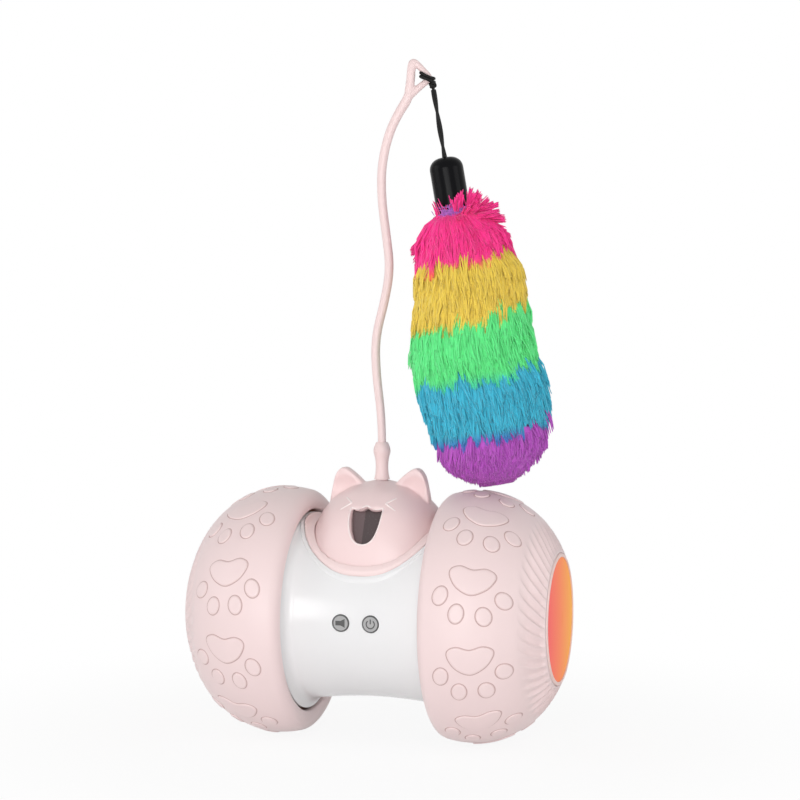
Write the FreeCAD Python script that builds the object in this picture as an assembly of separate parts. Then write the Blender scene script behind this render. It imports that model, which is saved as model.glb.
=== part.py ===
import FreeCAD, Part
import math
import os

os.makedirs("parts", exist_ok=True)

# A self-rolling cat ball: two paw-printed wheels on a white waist, a cat's head on top
# and a plush teaser hanging from a soft wand. Millimetres, +Z up, X along the axle, the
# face towards -Y, and the origin on the floor under the middle of the axle.

Vec = FreeCAD.Vector
ORIGIN = Vec(0, 0, 0)
ALONG_X = Vec(1, 0, 0)
ALONG_Y = Vec(0, 1, 0)
ALONG_Z = Vec(0, 0, 1)

# Wheels: a soft tyre on a rigid hub, the sizes measured from the middle of the object
wheel_radius = 42.0  # over the raised paws
paw_rise = 0.65
tread_radius = wheel_radius - paw_rise
crown_x = 33.0  # where the tread is widest
crown_arc = 29.0
lip_face_x = 22.9  # the tyre's innermost point
lip_arc = 4.2
shoulder_x = 42.5  # where the crown turns into the rounded outer side
tyre_end_x = 61.1
tyre_end_radius = 21.8
tyre_wall = 2.2
tyre_mouth_radius = 34.0  # the opening that the waist's flange turns in
tyre_fit = 0.1

# Paws on the tread, ten round each wheel
paw_count = 10
paw_phase = -12.0  # degrees above the front, of the first main pad
paw_x = 41.9
pad_half_width = 7.25
pad_half_height = 4.9
pad_dip = 3.6
toe_long = 3.4
toe_short = 2.6
toe_places = ((-10.5, -5.4, -20.0), (-5.0, -10.9, -9.0), (3.3, -11.6, 9.0), (8.8, -5.6, 20.0))
paw_root = 0.5  # how deep a pad is let into the tread
paw_margin = 6.0  # between the pads' band and the tyre's outer edge, as a radius

# Lens and its ring, in the middle of each wheel's outer side
lens_radius = 20.25
lens_edge = 0.9
lens_crown = 0.6
lens_fit = 0.1
ring_radius = 21.55
ring_front_x = 61.45
ring_skirt_radius = 20.1
ring_skirt_depth = 2.4
ring_shelf = 1.35  # how far the ring reaches in behind the lens
ring_round = 0.5

# Hub inside the tyre
hub_wall = 1.8
hub_start_x = 29.5
web_x = 50.0
web_thick = 1.8
web_reach = 31.2
window_count = 5
window_radius = 6.5
window_circle = 17.0
boss_radius = 4.5
boss_start_x = 43.0
boss_end_x = 53.2

# Waist shells, a body of revolution round the axle
waist_radius = 27.9
waist_end_radius = 29.4
flare_x = 20.6
flare_arc = 3.5
flange_radius = waist_end_radius + flare_arc
flange_end_x = 28.5
shell_wall = 1.8
shell_gap = 0.1
boss_places = ((18.5, 17.0), (21.5, -14.0))
post_radius = 2.6
pilot_radius = 0.8
screw_head_radius = 1.9
screw_head_height = 1.3
screw_radius = 0.75
screw_seat = 12.0  # how far behind the split the rear posts' screw heads sit
screw_length = 18.0

# End plates, gearboxes and gears
plate_x = 26.4
plate_thick = 1.8
plate_fit = 0.1
module = 0.5
output_teeth = 48
small_teeth = 12
big_teeth = 48
pinion_teeth = 8
backlash = 0.12
motor_y = 12.0
motor_z = -2.0
stage_one_x = 29.4
stage_one_thick = 3.0
stage_two_x = 33.2
stage_two_thick = 4.0
cover_end_x = 40.0
cover_wall = 1.5
gear_room = 1.0
shaft_radius = 1.5
shaft_start_x = 25.2
shaft_end_x = 53.0
running_fit = 0.03
press_fit = 0.01
bush_radius = 3.0
bush_flange_radius = 4.0
bush_flange = 0.8
pin_radius = 0.75
motor_half_width = 6.0
motor_half_height = 5.0
motor_length = 15.0
motor_nose_radius = 2.0
rotor_radius = 0.5
led_board_radius = 13.0
led_board_bore = 6.0
board_thick = 1.2
led_size = 3.0

# Inside the waist
weight_thick = 8.0
weight_half_length = 18.0
weight_half_angle = 40.0
weight_turn = 6.3  # degrees that the weight sits towards the front
inner_gap = 0.2
battery_size = (35.0, 18.0, 6.0)
battery_gap = 0.3
strap_width = 10.0
strap_thick = 1.3
main_board_size = (40.0, 21.0)
button_spacing = 10.0
button_radius = 2.75
button_fit = 0.15
button_proud = 0.25
button_travel = 0.7
button_flange = 0.8
button_seat = 0.35
button_flange_radius = 3.6
switch_size = 6.0
switch_height = 2.6
plunger_radius = 1.2
plunger_reach = 0.6
plunger_gap = 0.05
flange_back = -waist_radius + shell_wall + button_seat + button_flange
main_board_front = flange_back + button_travel + plunger_gap + plunger_reach + switch_height
speaker_radius = 8.0
speaker_depth = 3.5
speaker_rim = 1.2
port_z = -13.6
port_size = (9.0, 6.6, 3.2)
port_board = (16.0, 9.0, 1.0)
grille_radius = 0.8
grille_circle = 3.6

# Head, set a little behind the axle. Its heights are taken from the top of the waist
head_y = 2.0
head_top = 16.3
head_stations = (  # height, half width, half depth, squareness of the plan (2 is round)
    (-13.5, 23.7, 25.0, 3.05), (-9.9, 23.1, 24.5, 3.0), (-5.9, 22.45, 23.9, 2.9), (-2.4, 21.8, 23.2, 2.75),
    (1.0, 21.25, 22.2, 2.5), (3.6, 20.45, 21.1, 2.35), (5.8, 19.55, 19.9, 2.2), (7.6, 18.4, 18.6, 2.1),
    (9.9, 16.3, 16.3, 2.0), (12.2, 13.2, 13.2, 2.0), (14.2, 9.4, 9.4, 2.0), (15.6, 5.2, 5.2, 2.0),
    (16.2, 1.8, 1.8, 2.0))
plan_points = 40  # on each closed outline of the head
plan_back = 0.88  # the share of the front's depth that lies behind the head's middle
head_wall = 1.8
head_seat = 0.1  # between the head and the waist it sits on
collar_plan = (24.3, 26.2, 2.7)  # half width, half depth, squareness
collar_rise = 1.3
collar_gap = 0.15
neck_border = 1.4  # from the collar's side to the neck's
neck_plan_depth = 26.9
neck_rise = 0.6
neck_low = 5.0  # over the axle, below everything that the neck cuts or raises
neck_opening = 15.0
wheel_room = 0.6  # kept between the head and the turning tyres
mouth_top = 8.6
mouth_bottom = -4.2
mouth_half_width = 5.3
mouth_cusp = 0.35
mouth_sag = 0.7
window_setback = 2.6
window_thick = 1.2
window_margin = 1.0
sensor_size = (11.0, 1.2, 6.0)
sensor_back = -12.6
eye_x = 5.6
eye_height = 9.9
eye_long = 3.6
eye_high = 1.6
eye_width = 0.7
eye_depth = 0.45
ear_outline = ((17.6, 3.0), (17.3, 9.0), (16.2, 15.0), (14.6, 19.2), (12.6, 20.5), (10.4, 19.6),
               (7.0, 16.8), (2.6, 13.0))  # from the outer foot over the tip to the inner foot
ear_edge = 0.8
ear_thick = 4.6
ear_y = 1.0  # in front of the ear's back face, from the head's middle
ear_scoop = 1.3
ear_dish = 9.0
ear_dish_spot = (12.2, 13.4)

# Wand and its socket. Heights from the top of the waist
frame_low = 0.5
frame_thick = 2.0
frame_fit = 0.3
socket_radius = 3.6
socket_drop = 0.7
wand_shank_radius = 2.0
wand_fit = 0.08
wand_shank_low = 4.1
foot_gap = 0.2
wand_knots = ((2.65, 0.0), (2.2, 2.2), (2.1, 5.0), (2.45, 7.6), (2.85, 9.4), (2.5, 11.2), (1.9, 12.4))
rod_radius = 1.55
rod_gap = 0.45
rod_route = ((0.0, 29.1), (-0.4, 39.6), (-2.1, 52.6), (-2.3, 64.1), (1.0, 76.1), (2.9, 86.9),
             (1.5, 98.1), (-0.1, 109.6), (-0.2, 120.6), (2.2, 131.3), (6.0, 138.7), (9.0, 143.1))
loop_bar_radius = 1.25
loop_top = (10.4, 0.2, 154.7)
loop_corner = (15.6, 2.1, 149.7)

# String and teaser, drawn hanging straight down from the knot and then leaned
knot_place = (17.08, 1.42, 147.31)  # from the head's middle and the top of the waist
knot_radius = 1.4
knot_room = 0.2
strand_radius = 0.52  # the string is a twisted pair of these, and so is its turn on the loop
turn_size = 2.45
turn_in = 0.5  # how far the turn's middle lies inward of the loop's corner
string_radius = 0.9
string_gap = 0.2
string_in_cap = 9.5
teaser_lean = 9.8
cap_drop = 24.4
cap_length = 22.0
cap_radius = 5.6
cap_round = 3.8
cap_wall = 1.2
cap_roof_drop = 36.0
core_radius = 1.8
core_fit = 0.1
plush_wall = 1.0
band_gap = 0.3
band_drops = (43.0, 64.2, 82.9, 101.6, 120.8, 133.6)
band_radii = (4.5, 17.5, 18.8, 20.6, 18.4, 0.0)
band_bulges = (16.0, 18.6, 20.6, 20.4, 15.2)


# Helpers


def save(name, shape):
    """Write one node, as placed on its axle height."""
    placed = shape.copy()
    placed.translate(Vec(0, 0, wheel_radius))
    placed.exportStep("parts/" + name + ".step")


def mirrored(shape):
    """The left wheel's copy of a piece on the right."""
    return shape.mirror(ORIGIN, ALONG_X)


def half_round(shape):
    """The left gearbox's copy of a piece: the same piece, turned half round about Z."""
    copy = shape.copy()
    copy.rotate(ORIGIN, ALONG_Z, 180)
    return copy


def save_pair(name, shape):
    save(name + "_right", shape)
    save(name + "_left", mirrored(shape))


def save_drive_pair(name, shape):
    save(name + "_right", shape)
    save(name + "_left", half_round(shape))


def rod_x(radius, start, end, y=0.0, z=0.0):
    return Part.makeCylinder(radius, end - start, Vec(start, y, z), ALONG_X)


def rod_y(radius, start, end, x=0.0, z=0.0):
    return Part.makeCylinder(radius, end - start, Vec(x, start, z), ALONG_Y)


def rod_z(radius, start, end, x=0.0, y=0.0):
    return Part.makeCylinder(radius, end - start, Vec(x, y, start), ALONG_Z)


def block(low, high):
    size = [high[k] - low[k] for k in range(3)]
    return Part.makeBox(size[0], size[1], size[2], Vec(low[0], low[1], low[2]))


def line(start, end):
    """A straight edge in the plane of an axle section, as (x, radius) pairs."""
    return Part.makeLine(Vec(start[0], 0, start[1]), Vec(end[0], 0, end[1]))


def arc3(start, middle, end):
    points = [Vec(p[0], 0, p[1]) for p in (start, middle, end)]
    return Part.Arc(points[0], points[1], points[2]).toShape()


def on_circle(circle, angle, inset=0.0):
    """A point of a section circle (x, radius of its centre, size) at an angle in radians."""
    reach = circle[2] - inset
    return (circle[0] + reach * math.cos(angle), circle[1] + reach * math.sin(angle))


def round_arc(circle, start, end, inset=0.0):
    places = [on_circle(circle, angle, inset) for angle in (start, 0.5 * (start + end), end)]
    return arc3(places[0], places[1], places[2])


def revolved(edges, axis=ALONG_X):
    face = Part.Face(Part.Wire(edges))
    solid = face.revolve(ORIGIN, axis, 360)
    if solid.Volume < 0:
        solid.reverse()
    return solid


def path_tube(route, radius, print_name):
    """A round tube on straight runs joined by tangent arcs."""
    points = [Vec(*p) for p in route]
    runs = [(points[k + 1] - points[k]).Length for k in range(len(points) - 1)]
    edges = []
    start = points[0]
    radii = []
    for k in range(1, len(points) - 1):
        back = (points[k - 1] - points[k]).normalize()
        ahead = (points[k + 1] - points[k]).normalize()
        turn = math.pi - back.getAngle(ahead)
        trim = 0.45 * min(runs[k - 1], runs[k])
        bend = trim / math.tan(turn / 2)
        radii.append(bend)
        first = points[k] + back * trim
        last = points[k] + ahead * trim
        inward = (back + ahead).normalize()
        centre = points[k] + inward * (bend / math.cos(turn / 2))
        middle = centre - inward * bend
        edges.append(Part.LineSegment(start, first).toShape())
        edges.append(Part.Arc(first, middle, last).toShape())
        start = last
    edges.append(Part.LineSegment(start, points[-1]).toShape())
    wire = Part.Wire(edges)
    direction = (points[1] - points[0]).normalize()
    ring = Part.Wire([Part.Circle(points[0], direction, radius).toShape()])
    tube = wire.makePipeShell([ring], True, True)
    ideal = math.pi * radius * radius * wire.Length
    print(print_name, "length", round(wire.Length, 2), "radii", [round(r, 1) for r in radii],
          "volume share", round(tube.Volume / ideal, 4))
    return tube


def joined(shapes):
    whole = shapes[0]
    if len(shapes) > 1:
        whole = whole.multiFuse(shapes[1:])
    return whole.removeSplitter()


# The tyre's outline: a lip, a crown and a shoulder, each an arc that runs into the next


def tyre_circles():
    crown = (crown_x, tread_radius - crown_arc, crown_arc)
    lean = math.asin((shoulder_x - crown_x) / crown_arc)
    shoulder_angle = math.pi / 2 - lean
    start = on_circle(crown, shoulder_angle)
    reach = (tyre_end_x - start[0], tyre_end_radius - start[1])
    along = reach[0] * math.sin(lean) + reach[1] * math.cos(lean)
    size = -(reach[0] ** 2 + reach[1] ** 2) / (2 * along)
    shoulder = (start[0] - size * math.sin(lean), start[1] - size * math.cos(lean), size)
    lip_x = lip_face_x + lip_arc
    apart = crown_arc - lip_arc
    lip_centre = crown[1] + math.sqrt(apart ** 2 - (crown_x - lip_x) ** 2)
    lip = (lip_x, lip_centre, lip_arc)
    lip_angle = math.atan2(lip_centre - crown[1], lip_x - crown_x)
    return lip, crown, shoulder, lip_angle, shoulder_angle


LIP, CROWN, SHOULDER, LIP_ANGLE, SHOULDER_ANGLE = tyre_circles()


def shoulder_at(radius, inset=0.0):
    """Angle on the shoulder arc where it comes down to a radius."""
    return math.asin((radius - SHOULDER[1]) / (SHOULDER[2] - inset))


def crown_at_x(x, inset=0.0):
    return math.acos((x - CROWN[0]) / (CROWN[2] - inset))


def tyre_base():
    """The plain tyre: a shell from the soft lip over the tread to the lens ring."""
    mouth_drop = LIP[1] - tyre_mouth_radius
    mouth_angle = math.pi + math.asin(mouth_drop / lip_arc)
    outer_end = shoulder_at(tyre_end_radius)
    inner_end = shoulder_at(tyre_end_radius, tyre_wall)
    mouth = on_circle(LIP, mouth_angle)
    lip_bottom = on_circle(LIP, 1.5 * math.pi, tyre_wall)
    edges = [
        round_arc(LIP, mouth_angle, LIP_ANGLE),
        round_arc(CROWN, LIP_ANGLE, SHOULDER_ANGLE),
        round_arc(SHOULDER, SHOULDER_ANGLE, outer_end),
        line(on_circle(SHOULDER, outer_end), on_circle(SHOULDER, inner_end, tyre_wall)),
        round_arc(SHOULDER, inner_end, SHOULDER_ANGLE, tyre_wall),
        round_arc(CROWN, SHOULDER_ANGLE, LIP_ANGLE, tyre_wall),
        round_arc(LIP, LIP_ANGLE, 1.5 * math.pi, tyre_wall),
        line(lip_bottom, (lip_bottom[0], tyre_mouth_radius)),
        line((lip_bottom[0], tyre_mouth_radius), mouth),
    ]
    return revolved(edges)


def paw_layer():
    """The thin layer over the tread that the raised pads are cut from."""
    inner_start = LIP_ANGLE
    outer_end = shoulder_at(tyre_end_radius + paw_margin)
    low = paw_root
    high = -paw_rise
    edges = [
        round_arc(CROWN, inner_start, SHOULDER_ANGLE, high),
        round_arc(SHOULDER, SHOULDER_ANGLE, outer_end, high),
        line(on_circle(SHOULDER, outer_end, high), on_circle(SHOULDER, outer_end, low)),
        round_arc(SHOULDER, outer_end, SHOULDER_ANGLE, low),
        round_arc(CROWN, SHOULDER_ANGLE, inner_start, low),
        line(on_circle(CROWN, inner_start, low), on_circle(CROWN, inner_start, high)),
    ]
    return revolved(edges)


def main_pad_wire():
    """A bean, its dip away from the toes, in the plane that touches the tread."""
    w = pad_half_width
    h = pad_half_height
    outline = ((0, pad_dip), (0.63 * w, h), (w, 0.45 * h), (0.66 * w, -0.45 * h), (0, -h),
               (-0.66 * w, -0.45 * h), (-w, 0.45 * h), (-0.63 * w, h))
    curve = Part.BSplineCurve()
    curve.interpolate([Vec(paw_x + x, 0, z) for x, z in outline], PeriodicFlag=True)
    return Part.Wire([curve.toShape()])


def toe_wire(x, drop, tilt):
    ellipse = Part.Ellipse(ORIGIN, toe_long, toe_short).toShape()
    ellipse.rotate(ORIGIN, ALONG_Z, 90 + tilt)
    ellipse.rotate(ORIGIN, ALONG_X, 90)
    ellipse.translate(Vec(paw_x + x, 0, 0))
    return Part.Wire([ellipse]), drop


def prism_out(wire, turn):
    """Push a flat outline out through the tread, then turn it round the axle."""
    prism = Part.Face(wire).extrude(Vec(0, -2 * wheel_radius, 0))
    prism.rotate(ORIGIN, ALONG_X, -turn)
    return prism


def one_paw():
    tools = [prism_out(main_pad_wire(), 0)]
    for x, drop, tilt in toe_places:
        wire, fall = toe_wire(x, drop, tilt)
        tools.append(prism_out(wire, math.degrees(fall / wheel_radius)))
    layer = paw_layer()
    return [layer.common(tool) for tool in tools]


def tyre():
    pads = one_paw()
    chips = []
    for k in range(paw_count):
        turn = paw_phase + k * 360 / paw_count
        for pad in pads:
            chip = pad.copy()
            chip.rotate(ORIGIN, ALONG_X, -turn)
            chips.append(chip)
    return tyre_base().fuse(chips)


# Hub, lens ring and lens


def hub():
    outer = tyre_wall + tyre_fit
    inner = outer + hub_wall
    start = crown_at_x(hub_start_x, outer)
    start_in = crown_at_x(hub_start_x, inner)
    end = shoulder_at(ring_skirt_radius + lens_fit, outer)
    end_in = shoulder_at(ring_skirt_radius + lens_fit, inner)
    edges = [
        round_arc(CROWN, start, SHOULDER_ANGLE, outer),
        round_arc(SHOULDER, SHOULDER_ANGLE, end, outer),
        line(on_circle(SHOULDER, end, outer), on_circle(SHOULDER, end_in, inner)),
        round_arc(SHOULDER, end_in, SHOULDER_ANGLE, inner),
        round_arc(CROWN, SHOULDER_ANGLE, start_in, inner),
        line(on_circle(CROWN, start_in, inner), on_circle(CROWN, start, outer)),
    ]
    drum = revolved(edges)
    web = rod_x(web_reach, web_x, web_x + web_thick)
    for k in range(window_count):
        angle = math.radians(90 + k * 360 / window_count)
        place = (window_circle * math.cos(angle), window_circle * math.sin(angle))
        web = web.cut(rod_x(window_radius, web_x - 1, web_x + web_thick + 1, place[0], place[1]))
    boss = rod_x(boss_radius, boss_start_x, boss_end_x)
    bore = rod_x(shaft_radius + press_fit, boss_start_x - 1, boss_end_x + 1)
    return joined([drum, web, boss]).cut(bore)


def ring_shelf_x():
    return ring_front_x - lens_edge - 0.35


def ring_back_x():
    """Just in front of where the hub's drum ends."""
    outer = tyre_wall + tyre_fit
    end = shoulder_at(ring_skirt_radius + lens_fit, outer)
    return on_circle(SHOULDER, end, outer)[0] + lens_fit


def lens_ring():
    seat = lens_radius + lens_fit
    back = ring_back_x()
    skirt = back - ring_skirt_depth
    inner = seat - ring_shelf
    bevel = ring_round
    shelf = ring_shelf_x()
    corner = (ring_front_x - bevel + bevel * math.cos(math.pi / 4),
              ring_radius - bevel + bevel * math.sin(math.pi / 4))
    edges = [
        line((skirt, inner), (skirt, ring_skirt_radius)),
        line((skirt, ring_skirt_radius), (back, ring_skirt_radius)),
        line((back, ring_skirt_radius), (back, ring_radius)),
        line((back, ring_radius), (ring_front_x - bevel, ring_radius)),
        arc3((ring_front_x - bevel, ring_radius), corner, (ring_front_x, ring_radius - bevel)),
        line((ring_front_x, ring_radius - bevel), (ring_front_x, seat)),
        line((ring_front_x, seat), (shelf, seat)),
        line((shelf, seat), (shelf, inner)),
        line((shelf, inner), (skirt, inner)),
    ]
    return revolved(edges)


def lens():
    back = ring_shelf_x()
    edge = back + lens_edge
    front = edge + lens_crown
    size = (lens_radius ** 2 + lens_crown ** 2) / (2 * lens_crown)
    half = 0.5 * lens_radius
    sag = size - math.sqrt(size ** 2 - half ** 2)
    edges = [
        line((back, 0), (back, lens_radius)),
        line((back, lens_radius), (edge, lens_radius)),
        arc3((edge, lens_radius), (front - sag, half), (front, 0)),
        line((front, 0), (back, 0)),
    ]
    return revolved(edges)


# Gears. An angle of 0 points to the back (+Y) and 90 points up


def pitch_radius(teeth):
    return module * teeth / 2


def spur(teeth, phase, start, thick, place, bore):
    """A straight-cut gear with one tooth centred on the phase angle."""
    pitch = pitch_radius(teeth)
    root = pitch - 1.25 * module
    tip = pitch + 0.95 * module
    slope = math.tan(math.radians(20))
    half = math.pi / (2 * teeth) - backlash / (2 * pitch)
    half_root = half + 1.25 * module * slope / pitch
    half_tip = half - 0.95 * module * slope / pitch
    points = []
    for k in range(teeth):
        middle = math.radians(phase) + k * 2 * math.pi / teeth
        for reach, angle in ((root, -half_root), (tip, -half_tip), (tip, half_tip), (root, half_root)):
            points.append(Vec(start, place[0] + reach * math.cos(middle + angle),
                              place[1] + reach * math.sin(middle + angle)))
    points.append(points[0])
    disc = Part.Face(Part.makePolygon(points)).extrude(Vec(thick, 0, 0))
    return disc.cut(rod_x(bore, start - 1, start + thick + 1, place[0], place[1]))


def gear_layout():
    """Axle at the middle, the motor where it fits, the compound gear below, in mesh with both."""
    out_apart = pitch_radius(output_teeth) + pitch_radius(small_teeth)
    in_apart = pitch_radius(big_teeth) + pitch_radius(pinion_teeth)
    apart = math.hypot(motor_y, motor_z)
    along = (out_apart ** 2 + apart ** 2 - in_apart ** 2) / (2 * apart)
    aside = math.sqrt(out_apart ** 2 - along ** 2)
    unit = (motor_y / apart, motor_z / apart)
    return (along * unit[0] + aside * unit[1], along * unit[1] - aside * unit[0])


MIDDLE = (0.0, 0.0)
MOTOR = (motor_y, motor_z)
COMPOUND = gear_layout()
OUT_ANGLE = math.degrees(math.atan2(COMPOUND[1], COMPOUND[0]))
IN_ANGLE = math.degrees(math.atan2(MOTOR[1] - COMPOUND[1], MOTOR[0] - COMPOUND[0]))
STAGE_TWO_END = stage_two_x + stage_two_thick


def output_gear():
    wheel = spur(output_teeth, OUT_ANGLE, stage_two_x, stage_two_thick, MIDDLE, shaft_radius + press_fit)
    sleeve = rod_x(bush_radius, STAGE_TWO_END, STAGE_TWO_END + 0.8)
    return joined([wheel, sleeve.cut(rod_x(shaft_radius + press_fit, stage_two_x, cover_end_x))])


def compound_gear():
    bore = pin_radius + running_fit
    big = spur(big_teeth, IN_ANGLE, stage_one_x, stage_one_thick, COMPOUND, bore)
    small_start = stage_one_x + stage_one_thick
    small_thick = STAGE_TWO_END + 0.4 - small_start
    phase = OUT_ANGLE + 180 + 180 / small_teeth
    small = spur(small_teeth, phase, small_start, small_thick, COMPOUND, bore)
    return joined([big, small])


def compound_pin():
    return rod_x(pin_radius, plate_x + 0.3, cover_end_x - 0.4, COMPOUND[0], COMPOUND[1])


def motor_pinion():
    phase = IN_ANGLE + 180 + 180 / pinion_teeth
    return spur(pinion_teeth, phase, stage_one_x - 0.2, stage_one_thick + 0.4, MOTOR, rotor_radius + press_fit)


def motor_shaft():
    start = plate_x - plate_fit - 0.4 * motor_length
    return rod_x(rotor_radius, start, stage_one_x + stage_one_thick + 0.3, motor_y, motor_z)


def motor_can(extra=0.0):
    end = plate_x - plate_fit + extra
    start = end - motor_length - extra
    can = rod_x(motor_half_width + extra, start, end, motor_y, motor_z)
    half = motor_half_height + extra
    flats = block((start - 1, motor_y - 2 * motor_half_width, motor_z - half),
                  (end + 1, motor_y + 2 * motor_half_width, motor_z + half))
    return can.common(flats)


def motor():
    end = plate_x - plate_fit
    nose = rod_x(motor_nose_radius, end, end + 1.2, motor_y, motor_z)
    tail = rod_x(motor_nose_radius, end - motor_length - 0.8, end - motor_length, motor_y, motor_z)
    whole = joined([motor_can(), nose, tail])
    return whole.cut(rod_x(rotor_radius + running_fit, end - 0.4 * motor_length - 0.2, end + 2, motor_y, motor_z))


# Gearbox, one in each wheel


def ear_places():
    """Where the gearbox is screwed to the end plate."""
    room = pitch_radius(output_teeth) + gear_room + cover_wall + 2.6
    places = []
    spots = ((MIDDLE, OUT_ANGLE - 143.5), (MIDDLE, OUT_ANGLE + 126.5),
             (COMPOUND, OUT_ANGLE - 75), (COMPOUND, OUT_ANGLE + 75))
    for centre, angle in spots:
        turn = math.radians(angle)
        places.append((centre[0] + room * math.cos(turn), centre[1] + room * math.sin(turn)))
    return places


def gearbox_plan(extra, start, end):
    rooms = ((output_teeth, MIDDLE), (big_teeth, COMPOUND), (pinion_teeth, MOTOR))
    discs = []
    for teeth, place in rooms:
        size = pitch_radius(teeth) + module + gear_room + extra
        discs.append(rod_x(size, start, end, place[0], place[1]))
    return discs[0].multiFuse(discs[1:])


def gearbox_cover():
    start = plate_x + plate_thick
    ears = [rod_x(post_radius, start, start + 2.4, y, z) for y, z in ear_places()]
    whole = joined([gearbox_plan(cover_wall, start, cover_end_x)] + ears)
    whole = whole.cut(gearbox_plan(0, start - 1, cover_end_x - cover_wall))
    for y, z in ear_places():
        whole = whole.cut(rod_x(screw_radius + 0.1, start - 1, start + 4, y, z))
    pin_boss = rod_x(2.0, STAGE_TWO_END + 0.6, cover_end_x - cover_wall + 0.1, COMPOUND[0], COMPOUND[1])
    whole = joined([whole, pin_boss])
    whole = whole.cut(rod_x(pin_radius + press_fit, STAGE_TWO_END, cover_end_x - 0.4, COMPOUND[0], COMPOUND[1]))
    return whole.cut(rod_x(bush_radius + press_fit, cover_end_x - 3, cover_end_x + 1))


def gearbox_screws():
    start = plate_x + plate_thick
    screws = []
    for y, z in ear_places():
        head = rod_x(1.6, start + 2.4, start + 3.6, y, z)
        screws.append(joined([head, rod_x(screw_radius, plate_x + 0.2, start + 2.4, y, z)]))
    return screws + [half_round(screw) for screw in screws]


def end_plate():
    disc = rod_x(flange_radius - shell_wall - plate_fit, plate_x, plate_x + plate_thick)
    pocket = rod_x(motor_half_width + 1.6, plate_x - 6, plate_x, motor_y, motor_z)
    pin_boss = rod_x(2.0, plate_x, stage_one_x - 0.2, COMPOUND[0], COMPOUND[1])
    whole = joined([disc, pocket, pin_boss]).cut(motor_can(0.1))
    whole = whole.cut(rod_x(motor_nose_radius + 0.1, plate_x - 1, plate_x + 4, motor_y, motor_z))
    whole = whole.cut(rod_x(bush_radius + press_fit, plate_x - 1, plate_x + 4))
    whole = whole.cut(rod_x(pin_radius + press_fit, plate_x + 0.3, plate_x + 6, COMPOUND[0], COMPOUND[1]))
    for y, z in ear_places():
        whole = whole.cut(rod_x(screw_radius + press_fit, plate_x, plate_x + 3, y, z))
    return whole


def bush(start, end, flange_at, flange_to):
    whole = joined([rod_x(bush_radius, start, end), rod_x(bush_flange_radius, flange_at, flange_to)])
    return whole.cut(rod_x(shaft_radius + running_fit, min(start, flange_at) - 1, max(end, flange_to) + 1))


def shaft_bushes():
    inner = bush(plate_x - bush_flange, plate_x + plate_thick + 0.4, plate_x - bush_flange, plate_x)
    outer = bush(cover_end_x - cover_wall - 0.2, cover_end_x + bush_flange, cover_end_x,
                 cover_end_x + bush_flange)
    pair = [inner, outer]
    return pair + [mirrored(piece) for piece in pair]


def wheel_shaft():
    shaft = rod_x(shaft_radius, shaft_start_x, shaft_end_x)
    return shaft.cut(rod_x(screw_radius + press_fit, shaft_end_x - 6.5, shaft_end_x + 1))


def hub_screw():
    head = rod_x(3.0, boss_end_x, boss_end_x + 1.2)
    return joined([head, rod_x(screw_radius, boss_end_x - 6, boss_end_x)])


def led_board():
    start = cover_end_x + 0.1
    face = start + board_thick
    board = rod_x(led_board_radius, start, face).cut(rod_x(led_board_bore, start - 1, face + 1))
    half = led_size / 2
    middle = 0.5 * (led_board_bore + led_board_radius)
    lamps = []
    for turn in (45, 135, 225, 315):
        y = middle * math.cos(math.radians(turn))
        z = middle * math.sin(math.radians(turn))
        lamps.append(block((face, y - half, z - half), (face + 1, y + half, z + half)))
    return joined([board] + lamps)


# Waist shells


def waist_solid(extra=0.0, past=0.0):
    """The waist's body of revolution, grown or shrunk by an amount."""
    end = flange_end_x + past
    low = waist_end_radius + extra
    top = flange_radius + extra
    curl = flare_arc - extra
    turn_radius = min(flange_radius, top)
    drop = flange_radius - turn_radius
    turn_x = flare_x + math.sqrt(curl ** 2 - drop ** 2)
    start_angle = -math.pi / 2
    end_angle = -math.asin(drop / curl)
    middle = 0.5 * (start_angle + end_angle)
    curl_middle = (flare_x + curl * math.cos(middle), flange_radius + curl * math.sin(middle))
    edges = [arc3((-flare_x, low), (0, waist_radius + extra), (flare_x, low))]
    edges.append(arc3((flare_x, low), curl_middle, (turn_x, turn_radius)))
    if top > turn_radius:
        edges.append(line((turn_x, turn_radius), (turn_x, top)))
    edges.append(line((turn_x, top), (end, top)))
    edges.append(line((end, top), (end, 0)))
    edges.append(line((end, 0), (-end, 0)))
    edges.append(line((-end, 0), (-end, top)))
    edges.append(line((-end, top), (-turn_x, top)))
    if top > turn_radius:
        edges.append(line((-turn_x, top), (-turn_x, turn_radius)))
    edges.append(arc3((-turn_x, turn_radius), (-curl_middle[0], curl_middle[1]), (-flare_x, low)))
    return revolved(edges)


def above(height):
    """Height over the axle of a place given by its height over the waist's top."""
    return waist_radius + height


def turning_room():
    """The space the tyres turn in, which the head and the waist's neck keep out of."""
    start = lip_face_x - wheel_room
    inner = flange_radius + 0.05
    ring = rod_x(wheel_radius + 3, start, tyre_end_x)
    ring = ring.cut(rod_x(inner, start - 1, tyre_end_x + 1))
    return ring.fuse(mirrored(ring))


def plan_wire(width, depth, squareness, z):
    """A closed outline between an ellipse and a rectangle, round the head's middle."""
    points = []
    for k in range(plan_points):
        turn = 2 * math.pi * k / plan_points
        half = depth * plan_back if math.sin(turn) > 0 else depth
        across = abs(math.cos(turn) / width) ** squareness
        along = abs(math.sin(turn) / half) ** squareness
        reach = (across + along) ** (-1 / squareness)
        points.append(Vec(reach * math.cos(turn), head_y + reach * math.sin(turn), z))
    curve = Part.BSplineCurve()
    curve.interpolate(points, True)
    return Part.Wire([curve.toShape()])


def plan_column(plan, border, low):
    """An upright column on such an outline, from a height up past the head's top."""
    width, depth, squareness = plan
    face = Part.Face(plan_wire(width + border, depth + border, squareness, low))
    return face.extrude(Vec(0, 0, above(head_top) - low))


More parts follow.
